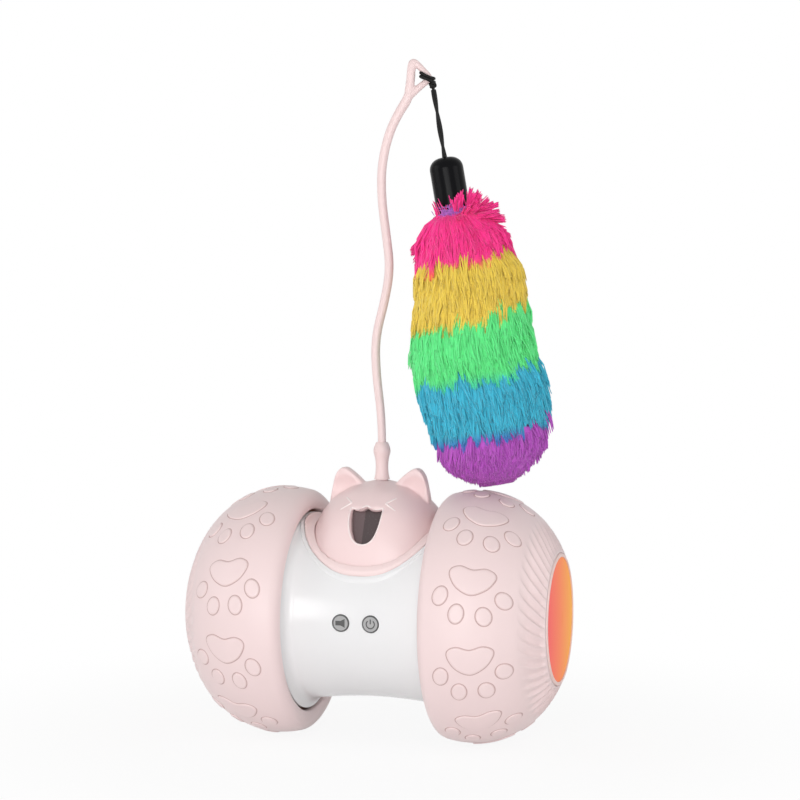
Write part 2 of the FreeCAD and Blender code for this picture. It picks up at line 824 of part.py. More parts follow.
def neck():
    """The low white ring of the waist that the head's collar stands in."""
    neck_plan = (collar_plan[0] + neck_border, neck_plan_depth, collar_plan[2])
    column = plan_column(neck_plan, 0, neck_low)
    column = column.cut(plan_column(collar_plan, collar_gap, 0))
    raised = waist_solid(neck_rise).common(column)
    return raised.cut(turning_room())


def post_spots():
    return [(side * x, z) for x, z in boss_places for side in (-1, 1)]


def shell_wall_solid():
    hollow = waist_solid(-shell_wall, 1.0)
    wall = joined([waist_solid(), neck()]).cut(hollow)
    wall = wall.cut(rod_z(neck_opening, neck_low, above(head_top), 0, head_y))
    stop_x = plate_x - plate_fit
    rib = rod_x(flange_radius - 1, stop_x - 1, stop_x)
    rib = rib.cut(rod_x(flange_radius - shell_wall - 1.6, stop_x - 2, stop_x + 1))
    return joined([wall, rib, mirrored(rib)])


def front_shell():
    front = block((-60, -60, -60), (60, -shell_gap / 2, 60))
    shell = shell_wall_solid().common(front)
    posts = [rod_y(post_radius, -waist_radius, -shell_gap / 2, x, z) for x, z in post_spots()]
    board = main_board_size
    for x in (-1, 1):
        for z in (-1, 1):
            posts.append(rod_y(1.6, -waist_radius, main_board_front - 0.05,
                               x * (board[0] / 2 - 2.2), z * (board[1] / 2 - 2.2)))
    inside = waist_solid(-0.5 * shell_wall)
    shell = joined([shell] + [post.common(inside) for post in posts])
    for x, z in post_spots():
        shell = shell.cut(rod_y(pilot_radius, -0.75 * screw_length, 1, x, z))
    for side in (-1, 1):
        hole = rod_y(button_radius + button_fit, -2 * waist_radius, main_board_front,
                     side * button_spacing / 2)
        shell = shell.cut(hole)
    return shell


def rear_shell():
    rear = block((-60, shell_gap / 2, -60), (60, 60, 60))
    shell = shell_wall_solid().common(rear)
    posts = [rod_y(post_radius, shell_gap / 2, waist_end_radius, x, z) for x, z in post_spots()]
    rim = rod_y(speaker_radius + 0.1 + speaker_rim, speaker_back() - speaker_depth, waist_radius)
    posts.append(rim.cut(rod_y(speaker_radius + 0.1, 0, speaker_back() + 0.1)))
    low = port_z - port_size[2] / 2 - port_board[2]
    for side in (-1, 1):
        ledge = block((side * port_board[0] / 2 - 1.5, weight_edge() + battery_gap, low - 2.0),
                      (side * port_board[0] / 2 + 1.5, waist_radius, low - 0.05))
        posts.append(ledge)
    inside = waist_solid(-0.5 * shell_wall)
    shell = joined([shell] + [post.common(inside) for post in posts])
    for x, z in post_spots():
        shell = shell.cut(rod_y(screw_radius + 0.15, -1, 2 * waist_radius, x, z))
        shell = shell.cut(rod_y(screw_head_radius + 0.2, screw_seat, 2 * waist_radius, x, z))
    half_x = port_size[0] / 2 + 0.2
    half_z = port_size[2] / 2 + 0.2
    shell = shell.cut(block((-half_x, screw_seat, port_z - half_z), (half_x, 60, port_z + half_z)))
    for y, x, z in grille_spots():
        shell = shell.cut(rod_y(grille_radius, speaker_back() + 0.05, y, x, z))
    return shell


def grille_spots():
    spots = [(2 * waist_radius, 0.0, 0.0)]
    for k in range(6):
        turn = math.radians(60 * k)
        spots.append((2 * waist_radius, grille_circle * math.cos(turn), grille_circle * math.sin(turn)))
    return spots


def speaker_back():
    """Where the speaker's back meets the inside of the rear shell."""
    inner = waist_radius - shell_wall
    reach = speaker_radius + 0.1
    return math.sqrt(inner ** 2 - reach ** 2) - 0.1


def speaker():
    back = speaker_back()
    drum = rod_y(speaker_radius, back - speaker_depth + 1, back)
    magnet = rod_y(0.55 * speaker_radius, back - speaker_depth, back - speaker_depth + 1)
    return joined([drum, magnet])


def port_reach():
    """How far back the socket's mouth comes, just inside the outer surface."""
    top = port_z + port_size[2] / 2
    low = port_z - port_size[2] / 2
    return math.sqrt(waist_radius ** 2 - max(abs(top), abs(low)) ** 2) - 0.3


def charging_socket():
    end = port_reach()
    start = end - port_size[1]
    x, z = port_size[0] / 2, port_size[2] / 2
    shell = block((-x, start, port_z - z), (x, end, port_z + z))
    mouth = block((-x + 0.4, start + 1.5, port_z - z + 0.4), (x - 0.4, end + 1, port_z + z - 0.4))
    tongue = block((-x + 1.4, start + 1, port_z - 0.3), (x - 1.4, end - 1, port_z + 0.3))
    return joined([shell.cut(mouth), tongue])


def charging_board():
    inner = waist_radius - shell_wall
    top = port_z - port_size[2] / 2
    low = top - port_board[2]
    end = math.sqrt(inner ** 2 - low ** 2) - inner_gap
    x = port_board[0] / 2
    return block((-x, end - port_board[1], low), (x, end, top))


def shell_screws():
    screws = []
    for x, z in post_spots():
        head = rod_y(screw_head_radius, screw_seat, screw_seat + screw_head_height, x, z)
        shank = rod_y(screw_radius, screw_seat - screw_length, screw_seat, x, z)
        screws.append(joined([head, shank]))
    return screws


# Weight, battery, boards and buttons


def steel_weight():
    outer = waist_radius - shell_wall - inner_gap
    inner = outer - weight_thick
    ring = rod_x(outer, -weight_half_length, weight_half_length)
    ring = ring.cut(rod_x(inner, -weight_half_length - 1, weight_half_length + 1))
    half = math.radians(weight_half_angle)
    reach = 2 * outer
    wedge = Part.makePolygon([Vec(-50, 0, 0), Vec(-50, -reach * math.sin(half), -reach * math.cos(half)),
                              Vec(-50, reach * math.sin(half), -reach * math.cos(half)), Vec(-50, 0, 0)])
    weight = ring.common(Part.Face(wedge).extrude(Vec(100, 0, 0)))
    weight.rotate(ORIGIN, ALONG_X, -weight_turn)
    return weight


def weight_edge():
    """How far the weight reaches to the back."""
    outer = waist_radius - shell_wall - inner_gap
    return outer * math.sin(math.radians(weight_half_angle - weight_turn))


def battery_low():
    inner = waist_radius - shell_wall - inner_gap - weight_thick
    half = battery_size[1] / 2
    return -math.sqrt((inner - battery_gap) ** 2 - half ** 2)


def battery():
    x, y = battery_size[0] / 2, battery_size[1] / 2
    cell = block((-x, -y, battery_low()), (x, y, battery_low() + battery_size[2]))
    return cell.makeFillet(1.2, [edge for edge in cell.Edges if abs(edge.tangentAt(0).x) > 0.9])


def battery_strap():
    inner = waist_radius - shell_wall - inner_gap - weight_thick
    half = battery_size[1] / 2 + 0.3
    top = battery_low() + battery_size[2] + 0.2
    outer = half + strap_thick
    foot = -math.sqrt((inner - 0.2) ** 2 - outer ** 2)
    x = strap_width / 2
    bridge = block((-x, -outer, top), (x, outer, top + strap_thick))
    legs = [block((-x, side * (half + strap_thick / 2) - strap_thick / 2, foot),
                  (x, side * (half + strap_thick / 2) + strap_thick / 2, top)) for side in (-1, 1)]
    return joined([bridge] + legs)


def main_board():
    x, z = main_board_size[0] / 2, main_board_size[1] / 2
    return block((-x, main_board_front, -z), (x, main_board_front + board_thick, z))


def button_switches():
    half = switch_size / 2
    front = main_board_front - switch_height
    switches = []
    for side in (-1, 1):
        x = side * button_spacing / 2
        body = block((x - half, front, -half), (x + half, main_board_front, half))
        switches.append(joined([body, rod_y(plunger_radius, front - plunger_reach, front, x)]))
    return switches


def button(side):
    x = side * button_spacing / 2
    front = -waist_radius - button_proud
    flange = -waist_radius + shell_wall + button_seat
    stem = rod_y(button_radius, front, flange + button_flange, x)
    stem = stem.makeFillet(0.3, [edge for edge in stem.Edges if edge.BoundBox.YMax < front + 0.01])
    return joined([stem, rod_y(button_flange_radius, flange, flange + button_flange, x)])


# Head


def moved_in(profile, inset):
    """Points (reach, height) of half an outline, moved square to it by an amount."""
    curve = Part.BSplineCurve()
    curve.interpolate([Vec(reach, 0, height) for reach, height in profile])
    moved = []
    for reach, height in profile:
        along = curve.tangent(curve.parameter(Vec(reach, 0, height)))[0]
        moved.append((reach - along.z * inset, height + along.x * inset))
    return moved


def dome(inset=0.0):
    """The head's full form, or its form with the wall taken off."""
    sides = moved_in([(width, height) for height, width, depth, squareness in head_stations], inset)
    fronts = moved_in([(depth, height) for height, width, depth, squareness in head_stations], inset)
    outlines = []
    for side, front, station in zip(sides, fronts, head_stations):
        outlines.append(plan_wire(side[0], front[0], station[3], above(side[1])))
    return Part.makeLoft(outlines, True)


def head_radius(height):
    """How far the face stands in front of the head's middle, at a height over the waist's top."""
    for low, high in zip(head_stations, head_stations[1:]):
        if low[0] <= height <= high[0]:
            return low[2] + (high[2] - low[2]) * (height - low[0]) / (high[0] - low[0])
    return head_stations[-1][2]


def on_face(shape, height):
    """Turn something drawn on the XZ plane, facing -Y, to lie on the face at a height."""
    rise = mouth_top - mouth_bottom
    lean = math.degrees(math.atan2(head_radius(mouth_bottom) - head_radius(mouth_top), rise))
    shape.rotate(ORIGIN, ALONG_X, -lean)
    shape.translate(Vec(0, head_y - head_radius(height), above(height)))
    return shape


def mouth_side(side):
    """From the lip's corner down to the middle of the chin, which is broad and round."""
    w = mouth_half_width
    tall = mouth_top - mouth_bottom
    points = [(w, 0), (0.98 * w, -0.3 * tall), (0.88 * w, -0.6 * tall), (0.66 * w, -0.85 * tall),
              (0.36 * w, -0.97 * tall), (0, -tall)]
    curve = Part.BSplineCurve()
    curve.interpolate([Vec(side * x, 0, z) for x, z in points])
    return curve.toShape()


def mouth_tool(front, depth):
    """The laughing mouth: a cat's lip on top and a rounded chin below."""
    w = mouth_half_width
    tall = mouth_top - mouth_bottom
    edges = [
        arc3((-w, 0), (-0.5 * w, -mouth_sag), (0, mouth_cusp)),
        arc3((0, mouth_cusp), (0.5 * w, -mouth_sag), (w, 0)),
        mouth_side(1),
        mouth_side(-1),
    ]
    face = Part.Face(Part.Wire(Part.__sortEdges__(edges)))
    face.translate(Vec(0, front, 0))
    return on_face(face.extrude(Vec(0, depth, 0)), mouth_top)


def mouth_window():
    w = mouth_half_width + window_margin
    tall = mouth_top - mouth_bottom
    pane = block((-w, window_setback, -tall - window_margin),
                 (w, window_setback + window_thick, mouth_cusp + window_margin))
    pane = on_face(pane, mouth_top)
    return pane.common(dome(head_wall + 0.1)).cut(waist_solid(2 * head_seat))


def window_room():
    """The space in front of the window's back, which the frame keeps out of."""
    w = mouth_half_width + window_margin + frame_fit
    tall = 2 * (mouth_top - mouth_bottom)
    room = block((-w, -head_wall, -tall), (w, window_setback + window_thick + 0.1, tall))
    return on_face(room, mouth_top)


def eye_tools():
    """Two short strokes to each side, like an arrow that points at the nose."""
    strokes = []
    depth = head_radius(mouth_bottom)
    for side in (-1, 1):
        inner = (side * (eye_x - eye_long / 2), 0)
        for up in (-1, 1):
            outer = (side * (eye_x + eye_long / 2), up * eye_high)
            length = math.hypot(outer[0] - inner[0], outer[1] - inner[1])
            angle = math.degrees(math.atan2(outer[1] - inner[1], outer[0] - inner[0]))
            bar = block((0, -depth, -eye_width / 2), (length, 0, eye_width / 2))
            bar.rotate(ORIGIN, ALONG_Y, -angle)
            bar.translate(Vec(inner[0], head_y, above(eye_height) + inner[1]))
            strokes.append(bar)
    return strokes


def ear(side):
    """A rounded ear that leans with the head's side, dished in front."""
    curve = Part.BSplineCurve()
    curve.interpolate([Vec(side * x, 0, above(z)) for x, z in ear_outline])
    foot = Part.makeLine(curve.EndPoint, curve.StartPoint)
    front = head_y + ear_y - ear_thick
    outline = Part.Wire([curve.toShape(), foot])
    outline.translate(Vec(0, front, 0))
    prism = Part.Face(outline).extrude(Vec(0, ear_thick, 0))
    rims = [edge for edge in prism.Edges
            if edge.BoundBox.YLength < 0.01 and edge.BoundBox.ZMax > above(ear_outline[4][1]) - 0.5]
    prism = prism.makeFillet(ear_edge, rims)
    middle = Vec(side * ear_dish_spot[0], front - ear_dish + ear_scoop, above(ear_dish_spot[1]))
    return prism.cut(Part.makeSphere(ear_dish, middle))


def head_shell():
    outer = joined([dome(), ear(-1), ear(1)])
    shell = outer.cut(dome(head_wall))
    shell = shell.cut(waist_solid(head_seat)).cut(turning_room())
    shell = shell.cut(mouth_tool(-4, 9))
    band = dome().cut(dome(eye_depth))
    for stroke in eye_tools():
        shell = shell.cut(stroke.common(band))
    hole = rod_z(wand_shank_radius + 0.3, 0, above(head_top) + 1, 0, head_y)
    return shell.cut(hole)


def head_collar():
    """The soft ring that closes the joint between the head and the waist."""
    ring = waist_solid(collar_rise).common(plan_column(collar_plan, 0, neck_low))
    ring = ring.cut(waist_solid(head_seat)).cut(turning_room())
    return ring.cut(dome(-collar_gap))


def head_frame():
    """Holds the wand's socket and the sensor's board, and closes the waist's opening."""
    low = above(frame_low)
    high = low + frame_thick
    slab = block((-60, -60, low), (60, 60, high))
    plate = dome(head_wall + frame_fit).common(slab)
    top = above(head_top) - head_wall - frame_fit - socket_drop
    tube = rod_z(socket_radius, low, top, 0, head_y)
    back = head_y + sensor_back + sensor_size[1]
    half = sensor_size[0] / 2
    rest = block((-half, back, low), (half, back + 1.4, high + 0.7 * sensor_size[2]))
    frame = joined([plate, tube, rest]).cut(waist_solid(head_seat)).cut(window_room())
    bore = rod_z(wand_shank_radius + wand_fit, above(wand_shank_low) - 0.3, top + 1, 0, head_y)
    return frame.cut(bore)


def sensor_board():
    low = above(frame_low + frame_thick) + 0.1
    front = head_y + sensor_back
    half = sensor_size[0] / 2
    board = block((-half, front, low), (half, front + sensor_size[1], low + sensor_size[2]))
    eye = rod_y(1.0, front - 0.35, front, 0, low + 0.4 * sensor_size[2])
    return joined([board, eye])


# Wand


def wand_base():
    foot = above(head_top) + foot_gap
    points = [Vec(radius, 0, foot + height) for radius, height in wand_knots]
    curve = Part.BSplineCurve()
    curve.interpolate(points)
    low = above(wand_shank_low)
    shank = wand_shank_radius
    edges = [
        Part.makeLine(Vec(0, 0, low), Vec(shank, 0, low)),
        Part.makeLine(Vec(shank, 0, low), Vec(shank, 0, foot)),
        Part.makeLine(Vec(shank, 0, foot), points[0]),
        curve.toShape(),
        Part.makeLine(points[-1], Vec(0, 0, points[-1].z)),
        Part.makeLine(Vec(0, 0, points[-1].z), Vec(0, 0, low)),
    ]
    solid = revolved(edges, ALONG_Z)
    solid.translate(Vec(0, head_y, 0))
    return solid


def rod_points():
    base_end = head_top + foot_gap + wand_knots[-1][1] + rod_gap
    route = [(x, head_y, above(height)) for x, height in rod_route]
    route[0] = (rod_route[0][0], head_y, above(base_end))
    return route


def wand_rod():
    route = rod_points()
    stem = path_tube(route, rod_radius, "wand rod")
    fork = Vec(*route[-1])
    top = Vec(loop_top[0], head_y + loop_top[1], above(loop_top[2]))
    corner = Vec(loop_corner[0], head_y + loop_corner[1], above(loop_corner[2]))
    bars = [Part.makeSphere(rod_radius, fork)]
    for start, end in ((fork, top), (top, corner), (corner, fork)):
        bars.append(Part.makeCylinder(loop_bar_radius, (end - start).Length, start, end - start))
    bars.append(Part.makeSphere(loop_bar_radius, top))
    bars.append(Part.makeSphere(loop_bar_radius, corner))
    return joined([stem] + bars)


# String and teaser. They are drawn hanging from the origin, which goes to the knot


def knot_point():
    return Vec(knot_place[0], head_y + knot_place[1], above(knot_place[2]))


def hung(shape):
    shape.rotate(ORIGIN, ALONG_Y, -teaser_lean)
    shape.translate(knot_point())
    return shape


def turned(outline):
    """A piece of the teaser, from straight and curved stretches of (radius, drop) points."""
    edges = []
    for stretch in outline:
        points = [Vec(radius, 0, -drop) for radius, drop in stretch]
        if len(points) == 2:
            edges.append(Part.makeLine(points[0], points[1]))
        elif len(points) == 3:
            edges.append(Part.Arc(points[0], points[1], points[2]).toShape())
        else:
            curve = Part.BSplineCurve()
            curve.interpolate(points)
            edges.append(curve.toShape())
    return hung(revolved(edges, ALONG_Z))


def string_hitch():
    """The double turn of string round the loop's corner, clear of the knot that hangs there."""
    corner = Vec(loop_corner[0], head_y + loop_corner[1], above(loop_corner[2]))
    to_fork = (Vec(*rod_points()[-1]) - corner).normalize()
    top = Vec(loop_top[0], head_y + loop_top[1], above(loop_top[2]))
    to_top = (top - corner).normalize()
    inward = (to_fork + to_top).normalize()
    axis = (to_fork - to_top).normalize()
    turns = []
    for side in (-1, 1):
        place = corner + inward * turn_in + axis * (side * 1.05 * strand_radius)
        turns.append(Part.makeTorus(turn_size, strand_radius, place, axis))
    hitch = Part.makeCompound(turns).cut(wand_rod_bars())
    return hitch.cut(Part.makeSphere(knot_radius + knot_room, knot_point()))


def string_knot():
    """The knot that the string swings from."""
    return Part.makeSphere(knot_radius, knot_point())


def wand_rod_bars():
    """The loop's bars with a little room round them, for the string's turn."""
    room = 0.1
    fork = Vec(*rod_points()[-1])
    top = Vec(loop_top[0], head_y + loop_top[1], above(loop_top[2]))
    corner = Vec(loop_corner[0], head_y + loop_corner[1], above(loop_corner[2]))
    bars = []
    for start, end in ((top, corner), (corner, fork)):
        bars.append(Part.makeCylinder(loop_bar_radius + room, (end - start).Length, start, end - start))
    bars.append(Part.makeSphere(loop_bar_radius + room, corner))
    return joined(bars)


def string():
    top = knot_radius + string_gap
    length = cap_drop + string_in_cap - top
    return hung(rod_z(string_radius, -top - length, -top))


def teaser_cap():
    """The cap, moulded in one with the stem that carries the plush."""
    low = cap_drop + cap_length
    round_drop = cap_drop + cap_round
    shoulder = (cap_radius - cap_round * (1 - math.sqrt(0.5)), cap_drop + cap_round * (1 - math.sqrt(0.5)))
    flat = cap_radius - cap_round
    inner = cap_radius - cap_wall
    tip = band_drops[-1] - 2 * plush_wall
    outline = (
        ((0, cap_drop), (flat, cap_drop)),
        ((flat, cap_drop), shoulder, (cap_radius, round_drop)),
        ((cap_radius, round_drop), (cap_radius, low)),
        ((cap_radius, low), (inner, low)),
        ((inner, low), (inner, cap_roof_drop)),
        ((inner, cap_roof_drop), (core_radius, cap_roof_drop)),
        ((core_radius, cap_roof_drop), (core_radius, tip)),
        ((core_radius, tip), (0, tip)),
        ((0, tip), (0, cap_drop)),
    )
    hole = hung(rod_z(string_radius + core_fit, -cap_drop - string_in_cap - core_fit, -cap_drop + 1))
    return turned(outline).cut(hole)


def plush_band(k):
    """One band of pile: a skirt that hangs from the core over the band below."""
    top = band_drops[k] + (band_gap if k else 0)
    low = band_drops[k + 1]
    middle = 0.5 * (top + low)
    wall = plush_wall
    inner = core_radius + core_fit
    start = band_radii[k]
    end = band_radii[k + 1]
    bulge = band_bulges[k]
    if k == 0:
        inner = cap_radius + core_fit
        start = inner + wall
    if k == len(band_drops) - 2:
        deep = low - top
        hem = (start, bulge, 0.6 * bulge, 0.0)
        falls = (0.0, 0.62 * deep, 0.93 * deep, deep)
        outer = tuple((r, top + fall) for r, fall in zip(hem, falls))
        lining = tuple((max(r - wall, 0.0), top + wall + fall * (deep - 2 * wall) / deep)
                       for r, fall in zip(hem, falls))
        outline = (
            ((inner, top), (start, top)),
            outer,
            ((0, low), (0, low - wall)),
            lining[::-1],
            ((start - wall, top + wall), (inner, top + wall)),
            ((inner, top + wall), (inner, top)),
        )
        return turned(outline)
    outline = (
        ((inner, top), (start, top)),
        ((start, top), (bulge, middle), (end, low)),
        ((end, low), (end - wall, low)),
        ((end - wall, low), (bulge - wall, middle), (max(start - wall, inner + 0.3), top + wall)),
        ((max(start - wall, inner + 0.3), top + wall), (inner, top + wall)),
        ((inner, top + wall), (inner, top)),
    )
    return turned(outline)


# Everything together


def wheels():
    save_pair("tyre", tyre())
    save_pair("wheel_hub", hub())
    save_pair("lens_ring", lens_ring())
    save_pair("lens", lens())
    save_pair("wheel_shaft", wheel_shaft())
    save_pair("hub_screw", hub_screw())
    save_drive_pair("output_gear", output_gear())


def gearboxes():
    save_drive_pair("compound_gear", compound_gear())
    save_drive_pair("motor_pinion", motor_pinion())
    save_drive_pair("motor_shaft", motor_shaft())
    save_drive_pair("motor", motor())
    save_drive_pair("end_plate", end_plate())
    save_drive_pair("gearbox_cover", gearbox_cover())
    save_drive_pair("led_board", led_board())
    pin = compound_pin()
    save("compound_pins", Part.makeCompound([pin, half_round(pin)]))
    save("shaft_bushes", Part.makeCompound(shaft_bushes()))
    save("gearbox_screws", Part.makeCompound(gearbox_screws()))


def waist():
    save("front_shell", front_shell())
    save("rear_shell", rear_shell())
    save("shell_screws", Part.makeCompound(shell_screws()))
    save("steel_weight", steel_weight())
    save("battery", battery())
    save("battery_strap", battery_strap())
    save("main_board", main_board())
    save("button_switches", Part.makeCompound(button_switches()))
    save("sound_button", button(-1))
    save("power_button", button(1))
    save("speaker", speaker())
    save("charging_socket", charging_socket())
    save("charging_board", charging_board())


def head():
    save("head_shell", head_shell())
    save("head_collar", head_collar())
    save("head_frame", head_frame())
    save("mouth_window", mouth_window())
    save("sensor_board", sensor_board())


def wand():
    save("wand_base", wand_base())
    save("wand_rod", wand_rod())
    save("string_hitch", string_hitch())
    save("string_knot", string_knot())
    save("teaser_string", string())
    save("teaser_cap", teaser_cap())
    for k, colour in enumerate(("pink", "yellow", "green", "blue", "purple")):
        save("plush_" + colour, plush_band(k))


wheels()
gearboxes()
waist()
head()
wand()
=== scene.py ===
"""Self-rolling cat ball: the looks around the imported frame. Sizes are written in millimetres."""

import math
import random

import bmesh
import bpy
from mathutils import Matrix, Vector
from mathutils.bvhtree import BVHTree
from mathutils.geometry import delaunay_2d_cdt


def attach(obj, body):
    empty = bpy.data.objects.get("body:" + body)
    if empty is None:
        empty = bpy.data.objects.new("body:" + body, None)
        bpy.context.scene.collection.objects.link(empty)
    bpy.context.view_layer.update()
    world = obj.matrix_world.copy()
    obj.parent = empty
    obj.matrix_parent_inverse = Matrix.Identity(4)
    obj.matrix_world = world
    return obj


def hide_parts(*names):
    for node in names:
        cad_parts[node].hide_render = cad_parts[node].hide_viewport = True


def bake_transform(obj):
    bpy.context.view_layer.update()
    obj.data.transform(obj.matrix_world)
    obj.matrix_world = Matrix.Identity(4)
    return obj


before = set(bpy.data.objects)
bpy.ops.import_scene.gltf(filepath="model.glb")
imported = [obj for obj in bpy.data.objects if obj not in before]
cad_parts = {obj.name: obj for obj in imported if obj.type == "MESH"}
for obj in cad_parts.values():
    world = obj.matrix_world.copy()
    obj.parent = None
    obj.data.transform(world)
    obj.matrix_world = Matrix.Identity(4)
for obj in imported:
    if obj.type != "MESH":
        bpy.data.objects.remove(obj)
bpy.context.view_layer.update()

MM = 0.001
SCENE = bpy.context.scene

# The axle, and the places on it that the pieces are set out from
AXLE = 42.0
HEAD_BACK = 2.0  # the head stands this far behind the axle
WAIST_TOP = 69.9


def mm(*place):
    return Vector(place) * MM


# Camera, as the photograph was taken: its place, and how far it looks down and round, in degrees

CAMERA_PLACE = (192.77, -647.14, 138.19)
CAMERA_DOWN = 2.14
CAMERA_ROUND = 16.03
CAMERA_LENS = 91.22


def photo_camera():
    data = bpy.data.cameras.new("photo_camera")
    data.sensor_width = 36.0
    data.lens = CAMERA_LENS
    data.clip_start = 0.01
    camera = bpy.data.objects.new("photo_camera", data)
    camera.location = mm(*CAMERA_PLACE)
    camera.rotation_euler = (math.radians(90 - CAMERA_DOWN), 0, math.radians(CAMERA_ROUND))
    SCENE.collection.objects.link(camera)
    SCENE.camera = camera


photo_camera()


# Making pieces


def keep(mesh, name, body, material, stands_for=()):
    """One finished piece, riding on its body."""
    piece = bpy.data.objects.new(name, mesh)
    SCENE.collection.objects.link(piece)
    mesh.materials.clear()
    mesh.materials.append(material)
    mesh.polygons.foreach_set("use_smooth", [True] * len(mesh.polygons))
    if body:
        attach(piece, body)
    if stands_for:
        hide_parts(*stands_for)
    return piece


def mesh_from(bm, name):
    mesh = bpy.data.meshes.new(name)
    bm.to_mesh(mesh)
    bm.free()
    return mesh


def spin_outline(bm, outline, axis, centre, steps, closed=True):
    """Turn an outline once round an axis. An open one starts and ends on the axis."""
    corners = [bm.verts.new(point) for point in outline]
    ends = corners[1:] + corners[:1] if closed else corners[1:]
    sides = [bm.edges.new((a, b)) for a, b in zip(corners, ends)]
    bmesh.ops.spin(bm, geom=corners + sides, cent=centre, axis=axis, angle=2 * math.pi,
                   steps=steps, use_merge=True)
    bmesh.ops.remove_doubles(bm, verts=bm.verts, dist=1e-7)
    bmesh.ops.recalc_face_normals(bm, faces=bm.faces)


def join_rings(bm, low, high):
    """The faces between two rings that have as many points."""
    for k in range(len(low)):
        n = (k + 1) % len(low)
        bm.faces.new((low[k], low[n], high[n], high[k]))


def worked_out(data, name, steps=()):
    """The mesh that a curve gives, or a mesh with modifiers on it."""
    holder = bpy.data.objects.new(name, data)
    SCENE.collection.objects.link(holder)
    for kind, values in steps:
        modifier = holder.modifiers.new(kind, kind)
        for key, value in values.items():
            setattr(modifier, key, value)
    bpy.context.view_layer.update()
    made = bpy.data.meshes.new_from_object(holder.evaluated_get(bpy.context.evaluated_depsgraph_get()))
    bpy.data.objects.remove(holder)
    return made


def tube_mesh(name, routes, radius, sides=3, closed=False):
    """Round tubes along NURBS routes of (point, thickness share), as one mesh."""
    curve = bpy.data.curves.new(name, "CURVE")
    curve.dimensions = "3D"
    curve.bevel_depth = radius * MM
    curve.bevel_resolution = sides
    curve.use_fill_caps = True
    curve.resolution_u = 6
    for route in routes:
        spline = curve.splines.new("NURBS")
        spline.points.add(len(route) - 1)
        for point, (place, share) in zip(spline.points, route):
            point.co = (place[0] * MM, place[1] * MM, place[2] * MM, 1)
            point.radius = share
        spline.order_u = 3
        spline.use_endpoint_u = not closed
        spline.use_cyclic_u = closed
    mesh = worked_out(curve, name)
    bpy.data.curves.remove(curve)
    return mesh


def remeshed(mesh, name, cell, rounds):
    """A mesh made again in even cells and smoothed, which softens its edges."""
    return worked_out(mesh, name, (
        ("REMESH", {"mode": "VOXEL", "voxel_size": cell * MM, "use_smooth_shade": True}),
        ("SMOOTH", {"factor": 0.5, "iterations": rounds}),
    ))


# Materials


def socketed_group(name, inputs, outputs):
    group = bpy.data.node_groups.new(name, "ShaderNodeTree")
    for socket, kind, value in inputs:
        made = group.interface.new_socket(socket, in_out="INPUT", socket_type=kind)
        if value is not None:
            made.default_value = value
    for socket, kind in outputs:
        group.interface.new_socket(socket, in_out="OUTPUT", socket_type=kind)
    return group, group.nodes.new("NodeGroupInput"), group.nodes.new("NodeGroupOutput")


def reckoned(nodes, links, operation, *values):
    """A value worked out from others, each a plain number or what another node gives."""
    reckoning = nodes.new("ShaderNodeMath")
    reckoning.operation = operation
    for k, value in enumerate(values):
        if isinstance(value, float):
            reckoning.inputs[k].default_value = value
        else:
            links.new(value, reckoning.inputs[k])
    return reckoning.outputs[0]


def clouded(nodes, links, size, detail):
    """Clouds all over a piece, as large as another node says."""
    place = nodes.new("ShaderNodeTexCoord")
    clouds = nodes.new("ShaderNodeTexNoise")
    clouds.inputs["Detail"].default_value = detail
    links.new(place.outputs["Object"], clouds.inputs["Vector"])
    links.new(size, clouds.inputs["Scale"])
    return clouds.outputs["Fac"]


def moulded_skin():
    """Fine moulding grain: a little colour drift, a little roughness and a fine bump."""
    group, given, result = socketed_group("moulded_skin", (
        ("Colour", "NodeSocketColor", (1, 1, 1, 1)),
        ("Drift", "NodeSocketFloat", 0.03),
        ("Drift Size", "NodeSocketFloat", 60.0),
        ("Roughness", "NodeSocketFloat", 0.4),
        ("Grain Size", "NodeSocketFloat", 2500.0),
        ("Grain", "NodeSocketFloat", 0.05),
    ), (("Colour", "NodeSocketColor"), ("Roughness", "NodeSocketFloat"), ("Normal", "NodeSocketVector")))
    nodes, links = group.nodes, group.links
    clouds = clouded(nodes, links, given.outputs["Drift Size"], 3.0)
    shade = reckoned(nodes, links, "MULTIPLY_ADD", clouds, given.outputs["Drift"], 0.985)
    tint = nodes.new("ShaderNodeVectorMath")
    tint.operation = "SCALE"
    links.new(given.outputs["Colour"], tint.inputs[0])
    links.new(shade, tint.inputs["Scale"])
    links.new(tint.outputs[0], result.inputs["Colour"])
    grain = clouded(nodes, links, given.outputs["Grain Size"], 2.0)
    rough = reckoned(nodes, links, "MULTIPLY_ADD", grain, 0.08, given.outputs["Roughness"])
    links.new(rough, result.inputs["Roughness"])
    bump = nodes.new("ShaderNodeBump")
    bump.inputs["Distance"].default_value = 0.0001
    links.new(given.outputs["Grain"], bump.inputs["Strength"])
    links.new(grain, bump.inputs["Height"])
    links.new(bump.outputs[0], result.inputs["Normal"])
    return group


SKIN = moulded_skin()


def moulded(name, colour, roughness, drift=0.03, grain=0.05, grain_size=2500.0, **sockets):
    """A plastic or rubber with the moulded skin on it."""
    material = bpy.data.materials.new(name)
    material.use_nodes = True
    nodes, links = material.node_tree.nodes, material.node_tree.links
    shader = nodes["Principled BSDF"]
    skin = nodes.new("ShaderNodeGroup")
    skin.node_tree = SKIN
    skin.inputs["Colour"].default_value = (*colour, 1)
    skin.inputs["Drift"].default_value = drift
    skin.inputs["Roughness"].default_value = roughness
    skin.inputs["Grain"].default_value = grain
    skin.inputs["Grain Size"].default_value = grain_size
    links.new(skin.outputs["Colour"], shader.inputs["Base Color"])
    links.new(skin.outputs["Roughness"], shader.inputs["Roughness"])
    links.new(skin.outputs["Normal"], shader.inputs["Normal"])
    for socket, value in sockets.items():
        shader.inputs[socket.replace("_", " ")].default_value = value
    return material


